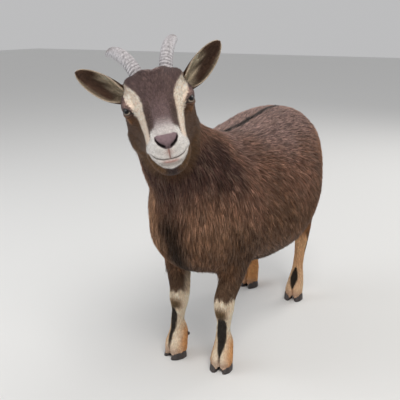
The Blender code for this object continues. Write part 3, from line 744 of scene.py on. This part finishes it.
def near_features(places, reach):
    """Whether a place is near an eye or on the end of the muzzle."""
    h = to_head(places)
    close = (h[:, 1] < -0.122 + reach) & (np.abs(h[:, 0]) < 0.05) & (h[:, 2] > -0.085) & (h[:, 2] < 0.02)
    for away, out, *_ in eyes(h):
        close |= norm(away - out * EYE_RADIUS) < 0.01 + reach * 0.5
    return close


def sculpted(h, n):
    """Moves places of the head's skin, in its own frame, to make the lids, nostrils, lips and folds."""
    x, y, z = h.T
    side = np.abs(x)
    front = step(-0.098, -0.112, y)
    mouth = z - mouth_line(side)
    corner = z - on_line(y, (-126, -37.2), (-112, -36.2), (-98, -39), (-86, -43))
    rise = 0.0005 * nose_pad(h) - 0.005 * nostril(h)
    rise -= 0.0011 * bell(x, 0.0012) * step(-0.0475, -0.0455, z) * step(-0.024, -0.028, z) * front
    rise -= 0.0026 * bell(mouth, 0.0012) * step(0.033, 0.028, side) * front
    rise += 0.001 * bell(mouth - 0.005, 0.0034) * step(0.03, 0.018, side) * step(0.001, 0.006, side) * front
    rise += 0.0011 * bell(mouth + 0.0045, 0.003) * step(0.028, 0.016, side) * front
    rise -= 0.005 * bell(x, 0.0115, y - 0.056, 0.022) * (z > 0.01)
    rise += 0.0016 * bell(side - 0.021, 0.012, y - 0.036, 0.012) * (z > 0.01)
    rise -= 0.002 * bell(corner, 0.0013) * step(-0.084, -0.092, y) * (1 - front) * (side > 0.015)
    # a hollow that runs forwards and down from the inner corner of each eye
    hollow = z - 0.002 + 0.028 * np.clip((-0.024 - y) / 0.04, 0, 1)
    rise -= 0.0014 * bell(hollow, 0.0055) * step(-0.022, -0.03, y) * step(-0.075, -0.05, y) * (side > 0.02)
    h = h + n * rise[:, None]
    for away, _, a, b, c in eyes(h):
        r, edge = norm(away), lens(a, b)
        lid = EYE_RADIUS + 0.001 + 0.0009 * step(0.0002, 0.0018, edge) * step(0.005, 0.003, edge)
        new = r + (np.maximum(r, lid) - r) * step(0.0085, 0.0035, edge)
        new -= 0.0013 * bell(edge - 0.0044, 0.001) * step(-0.001, 0.002, b)
        new -= 0.0008 * bell(edge - 0.0048, 0.0011) * step(0.001, -0.002, b)
        new += 0.0014 * bell(edge - 0.0078, 0.0026) * step(0.001, 0.005, b)
        new += (EYE_RADIUS - 0.003 - new) * step(0.0001, -0.0007, edge)
        zone = (c > 0.001) & (r < 0.026)
        h = h + away * (zone * (new / np.maximum(r, 1e-6) - 1))[:, None]
    return h


def toe_cleft(co, n):
    """Parts the front of each foot into its two toes and rounds them."""
    for fx, fy, _, turn in LEGS.values():
        a = math.radians(turn)
        dx, dy = co[:, 0] - fx, co[:, 1] - (fy - 0.012)
        across = dx * math.cos(a) + dy * math.sin(a)
        ahead = dx * math.sin(a) - dy * math.cos(a)
        here = (np.hypot(dx, dy) < 0.05) * step(0.058, 0.036, co[:, 2]) * step(-0.004, 0.008, ahead)
        rise = -0.005 * bell(across, 0.0026) + 0.0012 * bell(np.abs(across) - 0.013, 0.006)
        co = co + n * (rise * here)[:, None]
    return co


def make_skin():
    """The skin and, for each of its vertices, where it is on an ear (or -1)."""
    obj = flesh_volume()
    with_modifier(obj, "REMESH", mode="VOXEL", voxel_size=VOXEL)
    mesh = obj.data
    co = relaxed(mesh, 6, np.ones(len(mesh.vertices)))
    trunk = 1 - regions(co)["head"]
    relaxed(mesh, 110, trunk * step(0.205, 0.245, co[:, 2]))
    co = relaxed(mesh, 10, trunk * step(0.03, 0.05, co[:, 2]))
    # fewer faces where the coat is thick
    thick = 1.0 * ((trunk > 0.98) | (to_head(co)[:, 1] > 0.03)) * (co[:, 2] > 0.062)
    obj.vertex_groups.new(name="thick").add(np.nonzero(thick)[0].tolist(), 1.0, "REPLACE")
    total = sum(len(p.vertices) - 2 for p in mesh.polygons)
    kept = total - int(total * thick.mean()) + THICK_FACES
    with_modifier(obj, "DECIMATE", ratio=kept / total, vertex_group="thick")
    obj.vertex_groups.clear()
    mesh = obj.data
    co, r = places_of(mesh), regions(places_of(mesh))
    depth = mix(0.0046, 0.0018, r["low"])[:, 0]
    face = on_line(r["h"][:, 1], (-130, 0.4), (-100, 0.8), (-40, 1.4), (30, 2.2), (70, 4))
    set_places(mesh, co - normals_of(mesh) * (depth + (face - depth) * r["head"])[:, None])
    for reach in (0.03, 0.013):
        finer(mesh, lambda places, reach=reach: near_features(places, reach))
        relaxed(mesh, 3, 1.0 * near_features(places_of(mesh), reach))
    n = normals_of(mesh)
    co = toe_cleft(places_of(mesh), n)
    near = regions(co)["head"] > 0.5
    co[near] = from_head(sculpted(to_head(co[near]), n[near] @ HEAD_TURNS))
    set_places(mesh, co)
    relaxed(mesh, 1, 0.5 * near_features(co, 0.016))
    spots = [np.full((len(co), 3), (0.0, 0.0, -1.0))]
    with opened(mesh) as whole:
        for s in SIDES.values():
            verts, faces, spot = ear_shell(s)
            fresh = [whole.verts.new(v) for v in verts]
            for face in faces:
                whole.faces.new([fresh[k] for k in face])
            spots.append(spot * (1, s, 1))
        bmesh.ops.triangulate(whole, faces=whole.faces)
    spots = np.concatenate(spots)
    colours, ear = marks(places_of(mesh)), spots[:, 2] >= 0
    colours[ear] = ear_marks(spots[ear])
    unwrapped(obj)
    flesh = [n for n in NODES if not n.startswith(("eye", "horn", "hoof", "dewclaw"))]
    dressed(obj, colours * 0.8, "goat_skin", "coat_brown", *flesh)
    return obj, spots


def unwrapped(obj):
    """Unwraps the skin's own shape into the map that the hair's patches share."""
    bpy.ops.object.select_all(action="DESELECT")
    obj.select_set(True)
    bpy.context.view_layer.objects.active = obj
    obj.data.uv_layers.active = obj.data.uv_layers.new(name="OFBake")
    bpy.ops.object.mode_set(mode="EDIT")
    bpy.ops.mesh.select_all(action="SELECT")
    bpy.ops.uv.smart_project(angle_limit=1.15, island_margin=0.004, scale_to_bounds=True)
    bpy.ops.object.mode_set(mode="OBJECT")


# ---- the coat
# a lock has three points at the root, three half-way and one at the tip; a spike has no middle
LOCK, SPIKE = 7, 4
FACES = {
    LOCK: ((0, 2, 1), (0, 1, 4), (0, 4, 3), (1, 2, 5), (1, 5, 4),
           (2, 0, 3), (2, 3, 5), (3, 4, 6), (4, 5, 6), (5, 3, 6)),
    SPIKE: ((0, 2, 1), (0, 1, 3), (1, 2, 3), (2, 0, 3)),
}
PATCHES = {  # a hair's place on the unwrap, in millimetres from its root's
    LOCK: ((0, 0), (3, 0), (1.5, 0.5), (0.4, 1.6), (2.6, 1.6), (1.5, 2.1), (1.5, 3)),
    SPIKE: ((0, 0), (3, 0), (1.5, 0.8), (1.5, 3)),
}
TONES = {  # the root's share of the colour, and how far towards the tip's colour each point is
    LOCK: (0.42, (0, 0, 0.1, 0.55, 0.55, 0.7, 1)),
    SPIKE: (0.72, (0.2, 0.2, 0.4, 1)),
}
LOCK_CLUMPS, SPIKE_CLUMPS = 0.27, 0.16  # clumps for each hair
PIECE_FACES = 199000
BODY_LOCKS = 90000
SHORT_COATS = {  # how many hairs, their seed and slot, and how much they differ from clump to clump
    "coat_face": (66000, 42, "coat_head", 0.55),
    "coat_legs": (40000, 43, "coat_tan", 0.3),
    "coat_ears": (30000, 44, "coat_head", 0.25),
}


class Ground:
    """The skin as arrays and a tree, for planting hairs and for laying them along it."""

    def __init__(self, obj, spots):
        mesh = obj.data
        self.co, self.n, self.spots = places_of(mesh), normals_of(mesh), spots
        self.tris = rows_of(mesh.loops, "vertex_index", 1, np.int32).reshape(-1, 3)
        self.uv = rows_of(mesh.uv_layers["OFBake"].data, "uv", 2).reshape(-1, 3, 2).astype(float)
        a, b, c = (self.co[self.tris[:, k]] for k in range(3))
        self.area = norm(np.cross(b - a, c - a)) / 2
        self.middle = (a + b + c) / 3
        self.ear = spots[self.tris[:, 0], 2] >= 0
        self.tree = BVHTree.FromPolygons(self.co.tolist(), self.tris.tolist())

    def plant(self, density, count, rng):
        """About so many roots, spread over the skin by each face's density."""
        wanted = self.area * (density * (count / np.sum(self.area * density)))
        each = np.floor(wanted + rng.random(len(wanted))).astype(int)
        face = np.repeat(np.arange(len(each)), each)
        share = rng.dirichlet((1, 1, 1), len(face))
        corners = self.tris[face]
        of_corners = (self.co[corners], self.n[corners], self.uv[face], self.spots[corners])
        place, normal, uv, spot = (np.einsum("ij,ijk->ik", share, values) for values in of_corners)
        return place, unit(normal), uv, spot

    def laid(self, places, heights):
        """The places brought to these heights over the nearest skin, and its normals there."""
        out, normals = np.empty_like(places), np.empty_like(places)
        for k, (place, height) in enumerate(zip(places.tolist(), heights.tolist())):
            spot, normal, _, _ = self.tree.find_nearest(place)
            normals[k] = normal
            out[k] = spot + normal * height
        return out, normals


def ear_lie(places, normals, spot):
    """On the ears the hair runs from the root to the tip, and in the hollow it fans out over the edges."""
    side = np.where(to_head(places)[:, 0] > 0, 1.0, -1.0)
    lie = np.empty_like(places)
    for s in SIDES.values():
        along, facing, across, _ = ear_frame(s)
        here = side == s
        u, v, inner = spot[here].T
        fan = across * (np.sign(v) * s * 0.75)[:, None] + facing * 0.35
        fan *= (inner * step(0.85, 0.4, u))[:, None]
        lie[here] = (along + fan) @ HEAD_TURNS.T
    return unit(level(lie, normals))


def grow(ground, roots, length, lie, width, thick, lift, rng, points):
    """Locks or spikes: flat, three-sided, tapering, lying on the skin at the lift's slope."""
    place, normal = roots[:2]
    lie = unit(lie + 0.1 * rng.normal(size=lie.shape))
    rise = np.sin(np.radians(lift)) * length
    if points == LOCK:
        half, n_half = ground.laid(place + lie * (length * 0.5)[:, None], rise * 0.62)
        onward = unit(level(lie, n_half))
        tip, _ = ground.laid(half + onward * (length * 0.5)[:, None], rise)
        stations = [(place - normal * 0.0006, normal, 0.75), (half, n_half, 1.0)]
    else:
        tip, _ = ground.laid(place + lie * length[:, None], rise)
        stations = [(place - normal * 0.0004, normal, 1.0)]
    out = np.empty((len(place), points, 3))
    for k, (centre, up, share) in enumerate(stations):
        across = unit(np.cross(lie, up))
        out[:, 3 * k] = centre - across * (width * share / 2)[:, None]
        out[:, 3 * k + 1] = centre + across * (width * share / 2)[:, None]
        out[:, 3 * k + 2] = centre + up * (thick * share)[:, None]
    out[:, -1] = tip
    return out


def tangled(roots, clumps, rng):
    """For each root the middle of its clump, and the clump's own random number."""
    place = roots[0]
    seeds = place[rng.random(len(place)) < clumps]
    tree = KDTree(len(seeds))
    for k, seed in enumerate(seeds.tolist()):
        tree.insert(seed, k)
    tree.balance()
    nearest = np.array([tree.find(p)[1] for p in place.tolist()])
    return seeds[nearest], rng.random(len(seeds))[nearest]


def coat_pieces(name, verts, uv, shade, slot_name):
    """Meshes of many hairs with their patches of the unwrap, as few as the limit on faces allows."""
    points = verts.shape[1]
    faces, patch = np.array(FACES[points]), np.array(PATCHES[points]) * 0.001
    parts = math.ceil(len(verts) * len(faces) / PIECE_FACES)
    for k, share in enumerate(np.array_split(np.arange(len(verts)), parts)):
        mesh = bpy.data.meshes.new(f"{name}_{k + 1}")
        mesh.vertices.add(len(share) * points)
        mesh.vertices.foreach_set("co", verts[share].astype(np.float32).ravel())
        index = (faces[None] + (np.arange(len(share)) * points)[:, None, None]).astype(np.int32)
        mesh.loops.add(index.size)
        mesh.loops.foreach_set("vertex_index", index.ravel())
        mesh.polygons.add(index.size // 3)
        mesh.polygons.foreach_set("loop_start", np.arange(0, index.size, 3, dtype=np.int32))
        layer = mesh.uv_layers.new(name="OFBake")
        spread = uv[share, None, None, :] + patch[faces][None]
        layer.data.foreach_set("uv", np.clip(spread, 0, 1).astype(np.float32).ravel())
        mesh.update(calc_edges=True)
        dressed(placed(mesh.name, mesh), shade[share].reshape(-1, 3), "goat_coat", slot_name)


def shaded(colour, points, clump, rng, agouti):
    """The colours of each hair's points: dark at the root, pale at the tip, uneven from clump to clump."""
    count = len(colour)
    tuft, pale_one, black_one = (np.modf(clump * k)[0] for k in (97.3, 31.7, 57.1))
    own = np.exp(rng.normal(0, 0.22, count) + (tuft - 0.5) * 2 * (0.1 + 0.42 * agouti))
    pale = agouti * np.clip((rng.random(count) < 0.14) * 0.8 + (pale_one < 0.2) * 0.85, 0, 1)
    black = agouti * np.clip((rng.random(count) < 0.08) * 0.6 + (black_one < 0.12) * 0.7, 0, 1)
    light = colour.mean(1)
    pale = pale * step(0.01, 0.035, light) * step(0.45, 0.3, light)
    base = mix(colour * own[:, None], colour * 0.42, black * step(0.45, 0.3, light))
    tip = mix(base * 1.3, base * 1.4 + TIP * 0.36, pale)
    root_tone, along = TONES[points]
    root = (base * root_tone)[:, None, :]
    return np.clip(root + (tip[:, None, :] - root) * np.array(along)[None, :, None], 0.001, 1)


def make_body_coat(ground, count):
    """The long hair of the trunk, neck and upper legs, in locks that cling together."""
    rng = np.random.default_rng(41)
    r = regions(ground.middle)
    density = (1 - r["head"]) * (1 - r["low"]) * ~ground.ear
    roots = ground.plant(density, count, rng)
    place, normal, uv, _ = roots
    length = hair_length(place) * rng.uniform(0.72, 1.25, len(place))
    clump, clump_number = tangled(roots, LOCK_CLUMPS, rng)
    lie = unit(flow(place, normal) + 0.9 * level(clump - place, normal) / length[:, None])
    lift = 8.0 + rng.uniform(-2.5, 4.0, len(place))
    lift += 4.0 * (clump_number - 0.5) + 4.0 * step(0.27, 0.22, place[:, 2])
    width = rng.uniform(0.0008, 0.0015, len(place)) * (length / 0.026) ** 0.5
    verts = grow(ground, roots, length, lie, width, width * 0.35, lift, rng, LOCK)
    shade = shaded(marks(place + lie * 0.004), LOCK, clump_number, rng, 1.0)
    coat_pieces("coat_body", verts, uv, shade, "coat_brown")


def make_short_coat(name, ground, where, count, seed, slot_name, agouti):
    """Short hair in spikes on the face, the lower legs or the ears."""
    rng = np.random.default_rng(seed)
    length = hair_length(ground.middle)
    density = where * (1 - 0.999 * bare(ground.middle) * ~ground.ear) / np.maximum(length, 0.0035)
    roots = ground.plant(density, count, rng)
    place, normal, uv, spot = roots
    length = hair_length(place)
    lie = flow(place, normal)
    colour = marks(place + lie * 0.0006)
    on_ear = spot[:, 2] > -0.5
    if on_ear.any():
        u, v, inner = spot[on_ear].T
        pale = step(0.05, 0.45, v) * step(0.76, 0.4, u)
        length[on_ear] = 0.0055 + inner * (0.0075 * pale + 0.0005)
        lie[on_ear] = ear_lie(place[on_ear], normal[on_ear], spot[on_ear])
        colour[on_ear] = ear_marks(spot[on_ear])
    length *= rng.uniform(0.7, 1.3, len(place))
    lift = np.where(on_ear, 7.0, 6.5) + rng.uniform(-3, 4, len(place))
    h = to_head(place)
    lift += 9.0 * (name == "coat_face") * step(0.0, -0.007, h[:, 2] - chin_line(np.abs(h[:, 0])))
    width = np.clip(length * 0.12, 0.00045, 0.0011) * rng.uniform(0.8, 1.25, len(place))
    width[on_ear] = 0.00062
    verts = grow(ground, roots, length, lie, width, width * 0.45, lift, rng, SPIKE)
    shade = shaded(colour, SPIKE, tangled(roots, SPIKE_CLUMPS, rng)[1], rng, agouti)
    coat_pieces(name, verts, uv, shade, slot_name)


# ---- eyes
def make_eye(label, side):
    """The wet eyeball: dark round the edge, pale gold-grey iris, wide dark pupil, bulging cornea."""
    centre, out, ahead, up = eye_axes(side)
    rings, sectors = 72, 128
    verts, colours = [out * EYE_RADIUS * 1.045], [srgb(10, 9, 12)]
    for k in range(1, rings):
        polar = math.pi * (k / rings) ** 1.55
        for j in range(sectors):
            turn = 2 * math.pi * j / sectors
            a, b = math.cos(turn), math.sin(turn)
            bulge = 1 + 0.045 * math.exp(-((polar / 0.62) ** 4))
            way = out * math.cos(polar) + (ahead * a + up * b) * math.sin(polar)
            verts.append(way * EYE_RADIUS * bulge)
            colours.append(eye_colour(polar * a * EYE_RADIUS, polar * b * EYE_RADIUS, turn))
    verts.append(-out * EYE_RADIUS)
    colours.append(srgb(60, 46, 42))
    faces = [(0, 1 + j, 1 + (j + 1) % sectors) for j in range(sectors)]
    faces += [(a + 1, d + 1, c + 1, b + 1) for a, b, c, d in tube_faces(rings - 1, sectors)]
    last = 1 + (rings - 2) * sectors
    faces += [(last + (j + 1) % sectors, last + j, len(verts) - 1) for j in range(sectors)]
    if side < 0:
        faces = [face[::-1] for face in faces]
    obj = mesh_object(f"eyeball_{label}", from_head(np.array(verts) + centre), faces)
    dressed(obj, np.array(colours), "eye_material", "eye", f"eye_{label}")


def eye_colour(across, above, turn):
    """The eye's colour so far forward and up from its middle, darker in the upper lid's shade."""
    far = math.hypot(across, above)
    pupil = (abs(across - 0.0004) / 0.0072) ** 2.6 + (abs(above - 0.0012) / 0.0038) ** 2.4
    streak = 0.12 * math.sin(turn * 37) + 0.08 * math.sin(turn * 61 + far * 900)
    iris = mix(srgb(94, 76, 60), srgb(138, 124, 110), step(0.003, 0.006, far)) * (1 + streak)
    iris = mix(iris, srgb(56, 38, 28), step(0.0086, 0.0098, far))
    white = mix(iris, srgb(120, 92, 80), step(0.01, 0.0112, far))
    white = white * (1 - 0.75 * step(0.0002, 0.003, above))
    return mix(white, srgb(6, 5, 5), step(1.25, 0.75, pupil))


# ---- horns
def make_horn(label, side):
    """The horn's arc with fine uneven rings near the head, smooth and paler towards its blunt beak."""
    steps, around = 170, 56
    lean = math.radians(HORN_LEAN[label])
    out = np.array((math.sin(lean) * side, math.cos(lean), 0))
    start = out * math.cos(HORN_RISE) + np.array((0, 0, math.sin(HORN_RISE)))
    over = out * math.sin(HORN_RISE) - np.array((0, 0, math.cos(HORN_RISE)))
    across = np.cross(start, over)
    place = HORN_PLACE * (side, 1, 1)
    turn = 2 * math.pi * np.arange(around) / around
    rings, colours = [], []
    for k in range(steps + 1):
        share = k / steps
        bent = HORN_ARC * share**1.37
        heading = start * math.cos(bent) + over * math.sin(bent)
        up = np.cross(across, heading)
        skew = 0.7 * np.sin(turn + 0.4) + 0.45 * np.sin(2 * turn + 1) + 0.25 * np.sin(5 * turn + 9 * share)
        coarse = np.sin(2 * math.pi * 19 * share**0.9 + 1.2 * skew + 1.4 * math.sin(share * 23))
        fine = np.sin(2 * math.pi * 47 * share + 2.2 * skew + 1.5 * math.sin(share * 61))
        fade = step(0.62, 0.18, share)
        closing = max((share - 0.5) / 0.5, 0.0)
        radius = HORN_RADIUS * (1 - 0.12 * share) * max(1 - closing**2.2, 0.0004) ** 0.65
        radius = radius * (1 + 0.025 * np.sin(2 * turn + 0.6)) - 0.0002
        radius = radius + 0.00022 * (0.25 + fade) * coarse + 0.00016 * (0.3 + fade) * fine
        body = np.cos(turn)[:, None] * across * 0.95 + np.sin(turn)[:, None] * up * 1.05
        rings.append(place + body * radius[:, None])
        broken = np.sin(7 * turn + 90 * share) * np.sin(3 * turn - 41 * share)
        grey = step(-1.1, 0.7, 0.9 * coarse + 0.45 * fine + 0.3 * broken)
        # painted shade on the horn's underside, stronger towards the tip
        under = step(0.0, -0.8, np.sin(turn))
        colours.append(layered(
            srgb(112, 108, 114),
            srgb(222, 219, 222), mix(0.72, grey, 0.12 + 0.5 * fade),
            srgb(112, 96, 88), 0.6 * step(0.2, 0.02, share),
            # painted shade on the underside
            srgb(112, 100, 98), under * (0.35 + 0.5 * step(0.6, 0.85, share)),
            srgb(96, 84, 80), 0.6 * step(0.9, 1.0, share),
        ))
        place = place + heading * (HORN_LENGTH / steps)
    ring = tuple(range(around))
    faces = tube_faces(steps + 1, around) + [ring[::-1], tuple(steps * around + j for j in ring)]
    obj = mesh_object(f"horn_{label}_ringed", from_head(np.array(rings).reshape(-1, 3)), faces)
    outward(obj)
    dressed(obj, np.array(colours).reshape(-1, 3), "horn_material", "horn", f"horn_{label}")


def outward(obj):
    """Turns all faces outwards and cuts them into triangles."""
    with opened(obj.data) as work:
        bmesh.ops.recalc_face_normals(work, faces=work.faces)
        bmesh.ops.triangulate(work, faces=work.faces)


# ---- hooves
HOOF_VOXEL, DEWCLAW_VOXEL = 0.0012, 0.0008
SOLE = 0.0011  # what lies lower stays flat on the floor
GROWTH_LINES = 2 * math.pi / 0.0034


def make_hoof(name):
    """A hoof or a dewclaw with its edges worn round and fine growth lines, flat where it stands."""
    mesh = bpy.data.meshes.new(name)
    with opened(mesh, NODES[name].data) as whole:
        bmesh.ops.remove_doubles(whole, verts=whole.verts, dist=1e-5)
    obj = placed(f"{name}_horn", mesh)
    small = name.startswith("dewclaw")
    with_modifier(obj, "REMESH", mode="VOXEL", voxel_size=DEWCLAW_VOXEL if small else HOOF_VOXEL)
    mesh = obj.data
    sole = places_of(mesh)[:, 2] < SOLE
    co = relaxed(mesh, 7, np.ones(len(mesh.vertices)))
    n = normals_of(mesh)
    if not small:
        slant = co[:, 2] + 0.1 * (co[:, 1] - co[:, 1].mean())
        co += n * (0.00022 * np.sin(slant * GROWTH_LINES) * step(0.002, 0.006, co[:, 2]))[:, None]
        co[sole, 2] = 0.0
    set_places(mesh, co)
    band = 0.6 * (0.5 + 0.5 * np.sin(co[:, 2] * GROWTH_LINES))
    top = 0.5 * step(0.022, 0.03, co[:, 2]) * (not small)
    colour = layered(srgb(46, 40, 40), srgb(78, 68, 64), band, srgb(104, 84, 70), top)
    outward(obj)
    dressed(obj, colour, "hoof_material", "hoof", name)


# ---- the room
def add_light(name, place, aim, size, power, tint):
    lamp = bpy.data.lights.new(name, "AREA")
    lamp.shape, lamp.size, lamp.energy, lamp.color = "DISK", size, power, tint
    obj = placed(name, lamp)
    obj.location = place
    obj.rotation_euler = (Vector(aim) - Vector(place)).to_track_quat("-Z", "Y").to_euler()


def make_room():
    mat, shader = new_material("pale_floor")
    tuned(shader, Base_Color=(0.74, 0.74, 0.73, 1), Roughness=0.85)
    corners = [(-12, -12, 0), (12, -12, 0), (12, 12, 0), (-12, 12, 0)]
    floor = mesh_object("studio_floor", corners, [(0, 1, 2, 3)])
    floor.location.z = -0.0004
    floor.data.materials.append(mat)
    scene = bpy.context.scene
    scene.world = bpy.data.worlds.new("pale_room")
    scene.world.use_nodes = True
    tuned(scene.world.node_tree.nodes["Background"], Color=(0.92, 0.92, 0.93, 1), Strength=0.55)
    scene.view_settings.view_transform = "Standard"
    add_light("key_light", (1.3, -1.6, 2.9), (0, 0, 0.35), 1.6, 60, (1.0, 0.97, 0.93))
    add_light("fill_light", (-2.2, -1.2, 1.8), (0, 0, 0.35), 2.2, 22, (0.93, 0.96, 1.0))
    add_light("rim_light", (0.6, 2.6, 2.2), (0, 0, 0.4), 1.6, 26, (1.0, 0.98, 0.95))
    view = bpy.data.cameras.new("camera")
    view.lens, view.sensor_width = 54.9, 36.0
    view.clip_start, view.clip_end = 0.05, 60.0
    scene.camera = placed("camera", view)
    scene.camera.location = (0.59564, -1.18388, 0.73658)
    scene.camera.rotation_euler = [math.radians(a) for a in (73.63, 0.09, 29.21)]


# ---- the goat
def main():
    ground = Ground(*make_skin())
    share = 1.0
    r = regions(ground.middle)
    make_body_coat(ground, int(BODY_LOCKS * share))
    furred = ~ground.ear
    where = {
        "coat_face": r["head"] * furred,
        "coat_legs": r["low"] * (1 - r["head"]) * furred,
        "coat_ears": 1.0 * ground.ear,
    }
    for name, (count, seed, slot_name, agouti) in SHORT_COATS.items():
        make_short_coat(name, ground, where[name], int(count * share), seed, slot_name, agouti)
    for label, side in SIDES.items():
        make_eye(label, side)
        make_horn(label, side)
    for name in NODES:
        if name.startswith(("hoof", "dewclaw")):
            make_hoof(name)
    make_room()


main()
